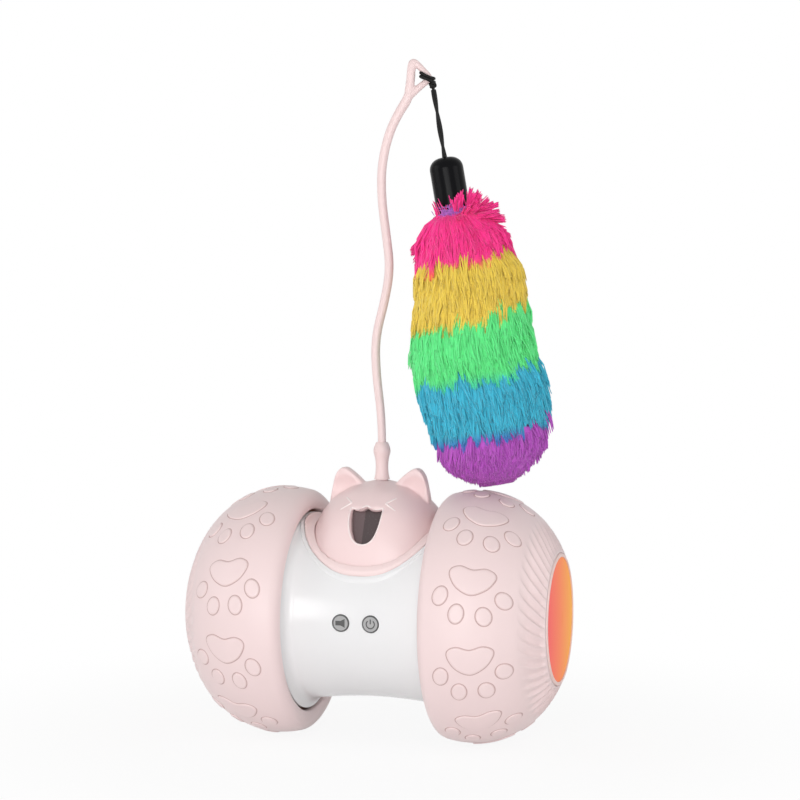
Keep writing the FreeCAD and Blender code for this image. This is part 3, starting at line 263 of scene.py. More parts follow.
def skin_of(material):
    return next(node for node in material.node_tree.nodes if node.type == "GROUP")


def place_along(nodes, links, axis, kind="Object"):
    """How far along an axis a point of the surface is."""
    place = nodes.new("ShaderNodeTexCoord")
    split = nodes.new("ShaderNodeSeparateXYZ")
    links.new(place.outputs[kind], split.inputs[0])
    return split.outputs[axis]


def ranged(nodes, links, value, low, high, start=0.0, end=1.0, way="LINEAR"):
    """A number that runs from start to end while a value runs from low to high."""
    run = nodes.new("ShaderNodeMapRange")
    run.interpolation_type = way
    for socket, number in (("From Min", low), ("From Max", high), ("To Min", start), ("To Max", end)):
        run.inputs[socket].default_value = number
    links.new(value, run.inputs["Value"])
    return run.outputs[0]


def between(nodes, links, share, first, second):
    """A colour between two, each a plain colour or what another node gives."""
    mix = nodes.new("ShaderNodeMix")
    mix.data_type = "RGBA"
    for socket, colour in (("A", first), ("B", second)):
        if isinstance(colour, tuple):
            mix.inputs[socket].default_value = (*colour, 1)
        else:
            links.new(colour, mix.inputs[socket])
    links.new(share, mix.inputs["Factor"])
    return mix.outputs["Result"]


def metal(name, colour, roughness):
    return moulded(name, colour, roughness, drift=0.06, grain=0.1, grain_size=900.0, Metallic=1.0)


soft_pink = moulded("soft_pink", (0.86, 0.69, 0.685), 0.42, Sheen_Weight=0.15)
head_pink = moulded("head_pink", (0.88, 0.68, 0.675), 0.33, grain=0.03)
collar_pink = moulded("collar_pink", (0.91, 0.73, 0.72), 0.38)
wand_pink = moulded("wand_pink", (0.88, 0.69, 0.68), 0.38, grain=0.0)
# A darker pink: painted shade for the fine lines round the paw pads
shade_line_pink = moulded("shade_line_pink", (0.58, 0.40, 0.39), 0.6)
# A paler pink: painted highlight on the eye strokes and the mouth's rim
highlight_pink = moulded("highlight_pink", (0.93, 0.80, 0.79), 0.3)
# Darker mauve is painted shade in the mouth's recess, and its glow is painted light that lifts it
recess_shade_glow = moulded("recess_shade_glow", (0.50, 0.36, 0.36), 0.5, Emission_Color=(0.50, 0.36, 0.36, 1),
                      Emission_Strength=0.35)
gloss_white = moulded("gloss_white", (0.86, 0.86, 0.865), 0.18, drift=0.01, grain=0.01)
button_grey = moulded("button_grey", (0.40, 0.40, 0.40), 0.4)
rim_grey = moulded("rim_grey", (0.10, 0.10, 0.10), 0.4)
icon_dark = moulded("icon_dark", (0.09, 0.09, 0.09), 0.5)
cap_black = moulded("cap_black", (0.003, 0.003, 0.004), 0.16, drift=0.0, grain=0.01, Specular_IOR_Level=0.08)


# The string first: a twisted pair of cords from the knot down into the cap

KNOT = (17.08, 3.42, 217.21)
LEAN = math.radians(9.8)
DOWN = Vector((math.sin(LEAN), 0, -math.cos(LEAN)))
ASIDE = Vector((math.cos(LEAN), 0, math.sin(LEAN)))
BACK = Vector((0, 1, 0))
STRING_LENGTH = 32.3
STRING_RADIUS = 0.9
STRAND_THICK = 0.52
STRING_TWIST = 1.4
TWIST_START = math.radians(-13)
KNOT_TAIL = 1.75


def hung(drop, out=0.0, turn=0.0, shift=0.0):
    """A place on the teaser: how far under the knot and out, the way round, and its middle's shift."""
    aside = shift + out * math.cos(turn)
    return Vector(KNOT) + DOWN * drop + ASIDE * aside + BACK * (math.sin(turn) * out)


# The string's route: under the knot, into the cap's top, and its end in there
STRING_ROUTE = (hung(1.6), hung(24.4), hung(33.9))


def strand_colour(name, colour, roughness, **sockets):
    return moulded(name, colour, roughness, drift=0.25, grain=0.6, grain_size=3000.0, **sockets)


string_black = strand_colour("string_black", (0.006, 0.006, 0.006), 0.6, Specular_IOR_Level=0.25)


def line_points(route):
    """The points of the smooth line that a route gives."""
    curve = bpy.data.curves.new("line", "CURVE")
    curve.dimensions = "3D"
    curve.resolution_u = 36
    spline = curve.splines.new("NURBS")
    spline.points.add(len(route) - 1)
    for point, place in zip(spline.points, route):
        point.co = (*(place * MM), 1)
    spline.order_u = 3
    spline.use_endpoint_u = True
    mesh = worked_out(curve, "line")
    points = [vert.co.copy() for vert in mesh.vertices]
    bpy.data.curves.remove(curve)
    bpy.data.meshes.remove(mesh)
    return points


STRING_LINE = line_points(STRING_ROUTE)


def string():
    """Two strands that turn round each other along the string's line."""
    offset = STRING_RADIUS - STRAND_THICK
    routes = []
    for side in (0, math.pi):
        route = []
        for place in STRING_LINE:
            run = (place - STRING_LINE[0]).length / MM
            turn = TWIST_START + side + 2 * math.pi * STRING_TWIST * run / STRING_LENGTH
            out = ASIDE * math.cos(turn) + BACK * math.sin(turn)
            route.append((place / MM + out * offset, 1.0))
        routes.append(route)
    mesh = tube_mesh("string", routes, STRAND_THICK)
    return keep(mesh, "twisted_string", "string", string_black, ("teaser_string",))


twisted_string = string()

# The three corners of the wand's loop. The string is tied round the first one, on a slope
LOOP_CORNER = Vector((15.6, 4.1, 219.6))
LOOP_FORK = Vector((9.0, 2.0, 213.0))
LOOP_TOP = Vector((10.4, 2.2, 224.6))
TURN_SLOPE = Vector((0.0, 0.0, 0.62))
STRING_TURNS = ((-0.56, 2.42), (0.56, 2.48))  # how far aside each turn lies, and its radius


def string_turns():
    """Two turns of the string round the loop's corner."""
    to_fork = (LOOP_FORK - LOOP_CORNER).normalized()
    to_top = (LOOP_TOP - LOOP_CORNER).normalized()
    inward = (to_fork + to_top + TURN_SLOPE).normalized()
    axis = (to_fork - to_top).normalized()
    routes = []
    for shift, size in STRING_TURNS:
        middle = LOOP_CORNER + inward * 0.5 + axis * shift
        around = []
        for k in range(12):
            turn = 2 * math.pi * k / 12
            wave = axis * (0.12 * math.sin(2 * turn + shift))
            around.append((middle + (inward * math.cos(turn) + BACK * math.sin(turn)) * size + wave, 1.0))
        routes.append(around)
    mesh = tube_mesh("turns", routes, STRAND_THICK, closed=True)
    return keep(mesh, "string_turns", "wand", string_black, ("string_hitch",))


def knot():
    """The small round knot that the string swings from."""
    turns = []
    for k in range(24):
        turn = 2 * math.pi * k / 24
        swell = 0.62 + 0.28 * math.cos(3 * turn)
        turns.append((hung(0.55 * math.sin(3 * turn), swell, 2 * turn), 1.0))
    bm = bmesh.new()
    bm.from_mesh(tube_mesh("knot", [turns], STRAND_THICK, closed=True))
    tail = [(hung(drop), 1.0) for drop in (0.2, 1.0, KNOT_TAIL)]
    bm.from_mesh(tube_mesh("tail", [tail], STRAND_THICK))
    return keep(mesh_from(bm, "knot"), "tied_knot", "knot", string_black, ("string_knot",))


string_turns()
knot()


# Tyres. The outline is three arcs that run into each other, as (x, radius, size)

LIP = (27.1, 36.44, 4.2)
CROWN = (33.0, 12.35, 29.0)
SHOULDER = (32.43, 10.70, 30.74)
CROWN_END = 42.5
LIP_TURN = math.atan2(LIP[1] - CROWN[1], LIP[0] - CROWN[0])
SHOULDER_TURN = math.acos((CROWN_END - CROWN[0]) / CROWN[2])
TYRE_WALL = 2.2
MOUTH_RADIUS = 34.0
TYRE_END_RADIUS = 21.8
RIB_COUNT = 45
RIB_DEPTH = 1.1
RIB_START = 32.6
RIB_SIDE = 44.0  # the ribs lie further out along the axle than this
RIB_SWEEP = math.radians(15)
RIB_CREST = 0.72  # where in its width a rib is highest


def on_arc(circle, turn, inset=0.0):
    size = circle[2] - inset
    return (circle[0] + size * math.cos(turn), circle[1] + size * math.sin(turn))


def stretch(circle, start, end, count, inset=0.0):
    return [on_arc(circle, start + (end - start) * k / count, inset) for k in range(count)]


def shoulder_turn(radius, inset=0.0):
    return math.asin((radius - SHOULDER[1]) / (SHOULDER[2] - inset))


def tread_at(x):
    """The tread's radius and outward slope at a place along the axle."""
    circle = CROWN if x < CROWN_END else SHOULDER
    turn = math.acos(max(-1.0, min(1.0, (x - circle[0]) / circle[2])))
    return circle[1] + circle[2] * math.sin(turn), turn


def rib_height(radius, around):
    """How far a swirl rib is cut in at a place on the tyre's outer side."""
    share = (RIB_START - radius) / (RIB_START - TYRE_END_RADIUS)
    if share <= 0:
        return 0.0
    fade = min(1.0, share * 3.2) * max(0.0, min(1.0, (0.98 - share) * 6))
    phase = RIB_COUNT * (around + RIB_SWEEP * share ** 0.8) / (2 * math.pi)
    phase -= math.floor(phase)
    ridge = phase / RIB_CREST if phase < RIB_CREST else (1 - phase) / (1 - RIB_CREST)
    return -RIB_DEPTH * fade * (1 - ridge ** 1.4)


def tyre(side):
    mouth_turn = math.pi + math.asin((LIP[1] - MOUTH_RADIUS) / LIP[2])
    outer_end = shoulder_turn(TYRE_END_RADIUS)
    inner_end = shoulder_turn(TYRE_END_RADIUS, TYRE_WALL)
    rib_turn = shoulder_turn(RIB_START)
    outline = stretch(LIP, mouth_turn, LIP_TURN, 12)
    outline += stretch(CROWN, LIP_TURN, SHOULDER_TURN, 26)
    outline += stretch(SHOULDER, SHOULDER_TURN, rib_turn, 10)
    outline += stretch(SHOULDER, rib_turn, outer_end, 30)
    outline += [on_arc(SHOULDER, outer_end)]
    outline += stretch(SHOULDER, inner_end, SHOULDER_TURN, 8, TYRE_WALL)
    outline += stretch(CROWN, SHOULDER_TURN, LIP_TURN, 10, TYRE_WALL)
    outline += stretch(LIP, LIP_TURN, 1.5 * math.pi, 6, TYRE_WALL)
    outline += [on_arc(LIP, 1.5 * math.pi, TYRE_WALL), (LIP[0], MOUTH_RADIUS)]
    bm = bmesh.new()
    spin_outline(bm, [mm(x, 0, AXLE + r) for x, r in outline], (1, 0, 0), mm(0, 0, AXLE), 450)
    for vert in bm.verts:
        across, along = vert.co.y / MM, vert.co.z / MM - AXLE
        x, radius = vert.co.x / MM, math.hypot(across, along)
        reach = math.hypot(x - SHOULDER[0], radius - SHOULDER[1])
        if x > RIB_SIDE and reach > SHOULDER[2] - 0.5:
            height = rib_height(radius, math.atan2(along, -across))
            new_x = x + height * (x - SHOULDER[0]) / reach
            new_radius = radius + height * (radius - SHOULDER[1]) / reach
            vert.co = mm(new_x, across * new_radius / radius, AXLE + along * new_radius / radius)
    if side == "left":
        turn_inside(bm)
    keep(mesh_from(bm, "tyre"), "soft_tyre_" + side, "wheel_" + side, soft_pink,
         ("tyre_" + side,))


def turn_inside(bm):
    """Mirror a right-hand piece to the left."""
    bmesh.ops.scale(bm, vec=(-1, 1, 1), verts=bm.verts)
    bmesh.ops.reverse_faces(bm, faces=bm.faces)


# Paws, drawn flat as (along the axle, along the tread, height) and then laid on the tread

PAW_COUNT = 10
PAW_PHASE = math.radians(-12)
PAW_X = 41.5
MAIN_PAD = ((-0.9, 3.5), (3.0, 4.5), (5.7, 3.4), (5.9, 1.0), (3.5, -2.7), (-0.9, -4.8), (-5.3, -2.7),
            (-7.7, 1.0), (-7.5, 3.4), (-4.8, 4.5))
TOES = ((-10.4, -5.5, 18.0), (-5.0, -11.1, 9.0), (3.3, -11.7, -8.0), (8.8, -5.7, -14.0))
TOE_SIZE = (2.3, 3.05)
# A pad's edge as (how far in from the outline, height over the tread)
PAD_EDGE = ((-0.02, -0.35), (0.0, 0.02), (0.05, 0.16), (0.16, 0.27), (0.34, 0.34), (0.6, 0.37))
PAD_TOP = 0.37
PAD_GRID = 0.9
PAD_MARGIN = 0.4
# The fine dark line round a pad, painted shade at the pad's edge, given in the same way
SHADE_LINE_EDGE = ((0.02, -0.2), (0.0, 0.0), (-0.08, 0.035), (-0.26, 0.035), (-0.34, 0.0), (-0.3, -0.2))


def closed_curve(corners, count):
    """Points on a smooth closed curve through corners."""
    points = []
    total = len(corners)
    for k in range(total):
        p = [Vector(corners[(k + step) % total]) for step in (-1, 0, 1, 2)]
        for j in range(count):
            t = j / count
            bend = 2 * p[0] - 5 * p[1] + 4 * p[2] - p[3]
            twist = 3 * p[1] - p[0] - 3 * p[2] + p[3]
            points.append(0.5 * ((2 * p[1]) + (p[2] - p[0]) * t + bend * t * t + twist * t ** 3))
    return points


def moved_in(outline, inset):
    """A smooth outline, drawn clockwise or not, moved square to itself towards its middle."""
    middle = sum(outline, Vector((0, 0))) / len(outline)
    moved = []
    for k, point in enumerate(outline):
        along = (outline[(k + 1) % len(outline)] - outline[k - 1]).normalized()
        square = Vector((-along.y, along.x))
        if square.dot(middle - point) < 0:
            square = -square
        moved.append(point + square * inset)
    return moved


def stepped(bm, outline, steps):
    """Rings of points from an outline, each a little further in and up, with the faces between them."""
    rings = []
    for inset, height in steps:
        rings.append([bm.verts.new((p.x, p.y, height)) for p in moved_in(outline, inset)])
    for low, high in zip(rings, rings[1:]):
        join_rings(bm, low, high)
    return rings


def pad(bm, outline):
    """One pad with a rounded edge. Its top has points all over, so that it can follow the tread."""
    rim = stepped(bm, outline, PAD_EDGE)[-1]
    border = [Vector((vert.co.x, vert.co.y)) for vert in rim]
    inner = moved_in(border, PAD_MARGIN)
    low = Vector((min(p.x for p in border), min(p.y for p in border)))
    high = Vector((max(p.x for p in border), max(p.y for p in border)))
    points = list(border)
    for i in range(1, int((high.x - low.x) / PAD_GRID) + 1):
        for j in range(1, int((high.y - low.y) / PAD_GRID) + 1):
            point = Vector((low.x + i * PAD_GRID, low.y + j * PAD_GRID))
            if within(point, inner):
                points.append(point)
    rim_sides = [(k, (k + 1) % len(border)) for k in range(len(border))]
    places, _, faces, sources, _, _ = delaunay_2d_cdt(points, rim_sides, [], 1, 1e-5)
    made = []
    for place, source in zip(places, sources):
        on_rim = [k for k in source if k < len(rim)]
        made.append(rim[on_rim[0]] if on_rim else bm.verts.new((place.x, place.y, PAD_TOP)))
    for face in faces:
        bm.faces.new([made[k] for k in face])


def within(point, outline):
    """Whether a point lies inside an outline."""
    inside = False
    for a, b in zip(outline, outline[1:] + outline[:1]):
        if (a.y > point.y) != (b.y > point.y):
            if point.x < a.x + (b.x - a.x) * (point.y - a.y) / (b.y - a.y):
                inside = not inside
    return inside


def paw_outlines():
    outlines = [closed_curve(MAIN_PAD, 7)]
    for x, drop, tilt in TOES:
        swing = math.radians(tilt)
        oval = []
        for k in range(32):
            turn = 2 * math.pi * k / 32
            a = TOE_SIZE[0] * math.cos(turn)
            b = TOE_SIZE[1] * math.sin(turn)
            oval.append(Vector((x + a * math.cos(swing) + b * math.sin(swing),
                                drop - a * math.sin(swing) + b * math.cos(swing))))
        outlines.append(oval)
    return outlines


def laid_round(one, name, side, material):
    """A flat piece, laid on the tread once for each paw."""
    whole = bmesh.new()
    for k in range(PAW_COUNT):
        first = len(whole.verts)
        whole.from_mesh(one)
        whole.verts.ensure_lookup_table()
        middle = PAW_PHASE + k * 2 * math.pi / PAW_COUNT
        for vert in whole.verts[first:]:
            x = PAW_X + vert.co.x
            radius, lean = tread_at(x)
            turn = middle + vert.co.y / AXLE
            out = radius + vert.co.z * math.sin(lean)
            vert.co = mm(x + vert.co.z * math.cos(lean), -out * math.cos(turn), AXLE + out * math.sin(turn))
    if side == "left":
        turn_inside(whole)
    bmesh.ops.recalc_face_normals(whole, faces=whole.faces)
    keep(mesh_from(whole, name), name + "_" + side, "wheel_" + side, material)


def paws(side):
    """The raised pads, and a fine dark line round each, painted as the shade at the pad's edge."""
    pads = bmesh.new()
    shade_lines = bmesh.new()
    for outline in paw_outlines():
        pad(pads, outline)
        rings = stepped(shade_lines, outline, SHADE_LINE_EDGE)
        join_rings(shade_lines, rings[-1], rings[0])
    laid_round(mesh_from(pads, "pads"), "paw_pads", side, soft_pink)
    laid_round(mesh_from(shade_lines, "shade_lines"), "paw_shade_lines", side, shade_line_pink)


for wheel_side in ("right", "left"):
    tyre(wheel_side)
    paws(wheel_side)


# Head and collar: the frame's own shapes, with every edge softened as moulding leaves it


def frame_copy(node):
    bm = bmesh.new()
    bm.from_mesh(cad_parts[node].data)
    bmesh.ops.remove_doubles(bm, verts=bm.verts, dist=1e-6)
    return mesh_from(bm, node)


# The face, seen from the front, as (x, height over the floor)
EYE_STROKES = (((5.8, 79.6), (7.6, 78.5), (9.4, 77.4)), ((5.9, 79.7), (7.2, 80.4), (8.5, 81.1)))
MOUTH_PLACE = (-15.7, 78.5)  # the lip's corners: along Y, and the height
MOUTH_LEAN = math.radians(24.5)
LIP_AND_CHIN = ((0, 0.35), (1.3, -0.5), (2.7, -0.7), (4.2, -0.5), (5.2, 0.0), (5.28, -1.5), (5.19, -3.84),
                (4.66, -7.68), (3.5, -10.88), (1.91, -12.4), (0, -12.8))
MOUTH_MIDDLE = -6.0
MOUTH_RIM = 0.3
MOUTH_RIM_OUT = 0.38
# The wall behind the rim as (how far out from the mouth's outline, depth). None is just behind the rim
MOUTH_WALL = ((0.2, None), (-0.1, None), (-0.1, 2.5), (0.2, 2.5))
EYE_WIDTH = 0.4
HEAD_CELL = 0.34
COLLAR_CELL = 0.3
FACE_SMOOTHING = 60
# The forehead lies between two heights over the waist. Its ridge and its two brows stand up from it
FOREHEAD = (9.0, 17.5)
RIDGE_RISE = 0.22
RIDGE_WIDTH = 1.6
BROW_RISE = 0.3
BROW_WIDTH = 3.0
BROW_PLACE = (7.5, 12.6)


def hump(value, middle, width):
    """1 at the middle, and less and less away from it."""
    return math.exp(-((value - middle) / width) ** 2)


def head():
    mesh = remeshed(frame_copy("head_shell"), "head", HEAD_CELL, 4)
    bm = bmesh.new()
    bm.from_mesh(mesh)
    for _ in range(FACE_SMOOTHING):
        eyes = [vert for vert in bm.verts if over_eyes(vert.co / MM)]
        bmesh.ops.smooth_vert(bm, verts=eyes, factor=0.5, use_axis_x=True, use_axis_y=True, use_axis_z=True)
    for vert in bm.verts:
        x, y, z = vert.co / MM
        rise = z - WAIST_TOP
        out = math.hypot(x, y - HEAD_BACK)
        if y < HEAD_BACK and FOREHEAD[0] < rise < FOREHEAD[1] and out > 2.6:
            ridge = RIDGE_RISE * hump(x, 0.0, RIDGE_WIDTH) * min(1.0, (rise - FOREHEAD[0]) / 4.0)
            brow = BROW_RISE * hump(abs(x), BROW_PLACE[0], BROW_WIDTH) * hump(rise, BROW_PLACE[1], 1.6)
            vert.co.z += (ridge + brow) * MM
    mesh = worked_out(mesh_from(bm, "head"), "head", (("DECIMATE", {"ratio": 0.55}),))
    return keep(mesh, "cat_head", "waist", head_pink, ("head_shell",))


def over_eyes(place):
    """Where the frame's own eyes are, which are smoothed away."""
    x, y, z = place
    return y < -4 and 2.0 < abs(x) < 8.6 and 77.0 < z < 82.6 and math.hypot(x, y - HEAD_BACK) > 12.0


def on_head(surface, x, z):
    """Where a line from the front meets the head."""
    place, normal, _, _ = surface.ray_cast(mm(x, -60, z), Vector((0, 1, 0)))
    return place / MM, normal


def eyes(surface):
    routes = []
    for side in (-1, 1):
        for stroke in EYE_STROKES:
            route = []
            for (x, z), share in zip(stroke, (1.0, 1.0, 0.6)):
                place, normal = on_head(surface, side * x, z)
                route.append((place - normal * 0.1, share))
            routes.append(route)
    mesh = tube_mesh("eyes", routes, EYE_WIDTH)
    # The strokes are pale pink, a painted highlight along each
    keep(mesh, "laughing_eyes", "waist", highlight_pink)


def mouth_round(grow):
    """The mouth's outline as (x, fall), moved outwards by an amount."""
    corners = list(LIP_AND_CHIN) + [(-x, fall) for x, fall in LIP_AND_CHIN[-2:0:-1]]
    moved = []
    for x, fall in corners:
        away = Vector((x / 0.8, fall - MOUTH_MIDDLE)).normalized() * grow
        moved.append((x + away.x, fall + away.y))
    return moved


def mouth_rim(surface):
    """The rounded rim of the mouth, pale pink as a painted highlight, and the wall that runs in from it to
    the window.
    """
    down = Vector((0, -math.sin(MOUTH_LEAN), -math.cos(MOUTH_LEAN)))
    inward = Vector((0, math.cos(MOUTH_LEAN), -math.sin(MOUTH_LEAN)))
    corner = Vector((0, *MOUTH_PLACE))
    rim = []
    for x, fall in mouth_round(MOUTH_RIM_OUT):
        start = corner + Vector((x, 0, 0)) - down * fall - inward * 20
        place, normal, _, _ = surface.ray_cast(start * MM, inward)
        rim.append((place / MM + inward * 0.1, 1.0))
    mesh = tube_mesh("rim", [rim], MOUTH_RIM, closed=True)
    keep(mesh, "mouth_rim", "waist", highlight_pink)
    # The wall is in painted shade, with a faint painted glow
    bm = bmesh.new()
    loops = []
    for grow, depth in MOUTH_WALL:
        loop = []
        for (x, fall), (place, _) in zip(mouth_round(grow), rim):
            start = corner + Vector((x, 0, 0)) - down * fall
            front = (place - start).dot(inward) + 0.35 if depth is None else depth
            loop.append(bm.verts.new((start + inward * front) * MM))
        loops.append(loop)
    for low, high in zip(loops, loops[1:] + loops[:1]):
        join_rings(bm, low, high)
    bmesh.ops.recalc_face_normals(bm, faces=bm.faces)
    keep(mesh_from(bm, "mouth_wall"), "mouth_wall", "waist", recess_shade_glow)


def collar():
    mesh = remeshed(frame_copy("head_collar"), "collar", COLLAR_CELL, 12)
    keep(mesh, "soft_collar", "waist", collar_pink, ("head_collar",))


cat_head = head()
head_surface = BVHTree.FromPolygons([vert.co for vert in cat_head.data.vertices],
                                    [face.vertices for face in cat_head.data.polygons])
eyes(head_surface)
mouth_rim(head_surface)
collar()


# Buttons: a dark rim round each, a loudspeaker on one and a power sign on the other

BUTTON_FACE = -28.15
BUTTON_X = 5.0
BUTTON_SIZE = 2.75
# The dark rim as (how far from the button's middle, place along Y)
BUTTON_RIM = ((2.36, -28.14), (2.5, -28.2), (2.68, -28.12), (2.78, -27.9), (2.78, -27.6), (2.36, -27.6))
# The signs are drawn as shares of the button
MARK_ROOT = 0.05
MARK_RISE = 0.04
SPEAKER_MARK = ((-0.63, -0.27), (0.0, -0.27), (0.5, -0.52), (0.5, 0.52), (0.0, 0.27), (-0.63, 0.27))
POWER_RING = 0.5
POWER_BAR = (0.02, 0.3, 0.58)
POWER_LINE = 0.075


def button_rim(name, x, body):
    bm = bmesh.new()
    outline = [mm(x + reach, y, AXLE) for reach, y in BUTTON_RIM]
    spin_outline(bm, outline, (0, 1, 0), mm(x, 0, AXLE), 64)
    keep(mesh_from(bm, name), name, body, rim_grey)


def speaker_mark():
    bm = bmesh.new()
    corners = [mm(-BUTTON_X + a * BUTTON_SIZE, BUTTON_FACE + MARK_ROOT, AXLE + b * BUTTON_SIZE)
               for a, b in SPEAKER_MARK]
    face = bm.faces.new([bm.verts.new(corner) for corner in corners])
    lifted = bmesh.ops.extrude_face_region(bm, geom=[face])
    moved = [part for part in lifted["geom"] if isinstance(part, bmesh.types.BMVert)]
    bmesh.ops.translate(bm, vec=mm(0, -MARK_ROOT - MARK_RISE, 0), verts=moved)
    bmesh.ops.recalc_face_normals(bm, faces=bm.faces)
    mesh = worked_out(mesh_from(bm, "mark"), "mark", (("BEVEL", {"width": 0.02 * MM, "segments": 2}),))
    keep(mesh, "speaker_mark", "sound_button", icon_dark)


def power_mark():
    ring = []
    for k in range(15):
        turn = math.radians(130 + 280 * k / 14)
        ring.append(((BUTTON_X + POWER_RING * BUTTON_SIZE * math.cos(turn), BUTTON_FACE,
                      AXLE + POWER_RING * BUTTON_SIZE * math.sin(turn)), 1.0))
    bar = [((BUTTON_X, BUTTON_FACE, AXLE + rise * BUTTON_SIZE), 1.0) for rise in POWER_BAR]
    mesh = tube_mesh("power", [ring, bar], POWER_LINE * BUTTON_SIZE)
    for vert in mesh.vertices:
        vert.co.y = (BUTTON_FACE + (vert.co.y / MM - BUTTON_FACE) * 0.25) * MM
    keep(mesh, "power_mark", "power_button", icon_dark)


button_rim("sound_rim", -BUTTON_X, "sound_button")
button_rim("power_rim", BUTTON_X, "power_button")
speaker_mark()
power_mark()


# Wand: a soft rod that opens into a small loop at its top

ROD_RADIUS = 1.55
WAND_CELL = 0.2
# The rod as (along X, height over the waist, share of its thickness), and the loop as (X, Y, Z, share)
ROD_ROUTE = ((0.0, 28.2, 0.92), (0.0, 31.5, 0.92), (-0.4, 39.6, 0.95), (-2.1, 52.6, 1.0), (-2.3, 64.1, 1.0),
             (1.0, 76.1, 1.0), (2.9, 86.9, 1.0), (1.5, 98.1, 1.0), (-0.1, 109.6, 1.0), (-0.2, 120.6, 1.0),
             (2.2, 131.3, 1.02), (6.0, 138.7, 1.05), (8.8, 142.6, 1.12), (9.4, 144.6, 1.0))
LOOP = ((9.0, 2.0, 213.4, 1.0), (9.9, 2.1, 218.6, 0.98), (10.1, 2.2, 223.0, 0.95),
        (10.5, 2.2, 225.1, 0.85), (12.0, 2.9, 224.2, 0.75), (14.0, 3.6, 221.9, 0.72),
        (15.9, 4.1, 220.0, 0.72), (15.4, 4.1, 218.9, 0.72), (13.2, 3.4, 217.2, 0.75),
        (10.8, 2.6, 215.0, 0.85))


def outer_skin(mesh):
    """The largest connected part of a mesh, without the small hollows that overlaps leave inside."""
    bm = bmesh.new()
    bm.from_mesh(mesh)
    left = set(bm.verts)
    largest = set()
    while left:
        part = {left.pop()}
        front = list(part)
        while front:
            near = {edge.other_vert(vert) for vert in front for edge in vert.link_edges} - part
            part |= near
            front = list(near)
        left -= part
        if len(part) > len(largest):
            largest = part
    bmesh.ops.delete(bm, geom=[vert for vert in bm.verts if vert not in largest], context="VERTS")
    return mesh_from(bm, mesh.name)


def wand():
    rod = [((x, HEAD_BACK, WAIST_TOP + rise), share) for x, rise, share in ROD_ROUTE]
    loop = [((x, y, z), share) for x, y, z, share in LOOP]
    bm = bmesh.new()
    bm.from_mesh(tube_mesh("rod", [rod], ROD_RADIUS, sides=4))
    bm.from_mesh(tube_mesh("loop", [loop], ROD_RADIUS, sides=4, closed=True))
    mesh = outer_skin(remeshed(mesh_from(bm, "wand"), "wand", WAND_CELL, 30))
    piece = keep(mesh, "soft_wand", None, wand_pink, ("wand_rod",))
    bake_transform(piece)


wand()


# Plush. Each band is a plain form with thousands of strands combed down over it

# How far down, the pile's radius there, and how far aside its middle stands
PLUSH_OUTLINE = (
    (40.0, 5.0, 0.0), (43.5, 6.2, 0.0), (47.0, 8.8, 0.6), (52.0, 12.8, 1.2), (56.5, 15.0, 1.6),
    (61.0, 16.0, 1.2), (66.0, 17.4, 1.2), (72.0, 18.4, 1.2), (79.0, 18.6, -0.6), (85.4, 19.4, -1.7),
    (96.0, 20.8, -0.8), (107.0, 21.0, 0.3), (118.0, 19.0, 0.5), (125.5, 16.8, -0.5),
    (129.0, 13.4, -0.6), (132.3, 8.6, -0.2), (135.0, 1.5, 0.0),
)
BANDS = (
    # name, first drop, last drop, clumps, strand length, colour, colour at the hem
    ("pink", 43.0, 64.6, 720, 14.0, (1.0, 0.027, 0.29), (1.0, 0.16, 0.06)),
    ("yellow", 64.6, 84.0, 780, 13.0, (0.85, 0.62, 0.075), (0.70, 0.66, 0.10)),
    ("green", 84.0, 101.9, 800, 13.0, (0.12, 0.85, 0.26), (0.05, 0.70, 0.40)),
    ("blue", 101.9, 120.5, 780, 13.0, (0.04, 0.49, 0.68), (0.05, 0.14, 0.56)),
    ("purple", 120.5, 134.5, 700, 11.0, (0.50, 0.085, 0.56), (0.50, 0.085, 0.54)),
)
BOUNCE_COLOUR = (0.62, 0.58, 0.58)
DYE_RUN = 5.5
SEAM_TURN = math.radians(-42)
SEAM_STEP = 3.6
STEM_COVER = 132.4  # the lowest band's form closes under the cap's stem
FORM_OVERLAP = 4.0  # a band's form starts this far up in the band above, and ends this far over its hem
FORM_TOP = 1.5
PILE_DEPTH = 1.9
PLUSH_SEED = 20
TUFT_SEED = 31
# A strand as (share of its length, share of its thickness), and the shares that its places are at
STRAND_SHAPE = ((0.0, 0.9), (0.3, 1.0), (0.65, 1.0), (0.95, 0.75))
STRAND_STEPS = [step for step, _ in STRAND_SHAPE] + [1.0]
STRAND_RADIUS = 0.17
LOWEST_TIP = 133.9  # the tips stay clear of the tyres under them
HIGHEST_ROOT = 42.0
# How many strands a clump has, and how they are scattered, as a spread or as (middle, spread)
CLUMP_STRANDS = 11
CLUMP_LEAN = 1.3
CLUMP_LIFT = (-0.35, 0.75)
TIP_DROP = 0.6
TIP_ROUND = 0.34
TIP_OUT = (-0.35, 0.25)
ROOT_ROUND = 1.2
ROOT_DEPTH = 3.2
ROOT_OUT = 0.4
BOW = 0.3
GOLDEN_SHARE = 0.6180339  # steps of this share of a turn never line up


def plush_at(drop):
    """The pile's radius and its middle's shift at a drop."""
    for (low, first, start), (high, last, end) in zip(PLUSH_OUTLINE, PLUSH_OUTLINE[1:]):
        if drop <= high:
            share = max(0.0, (drop - low) / (high - low))
            return first + (last - first) * share, start + (end - start) * share
    return PLUSH_OUTLINE[-1][1:]


def hem_lift(turn):
    """The bands are wound on as a strip, so each hem climbs to a step at the strip's edge."""
    share = ((turn - SEAM_TURN) / (2 * math.pi)) % 1.0
    return SEAM_STEP * (1 - share)


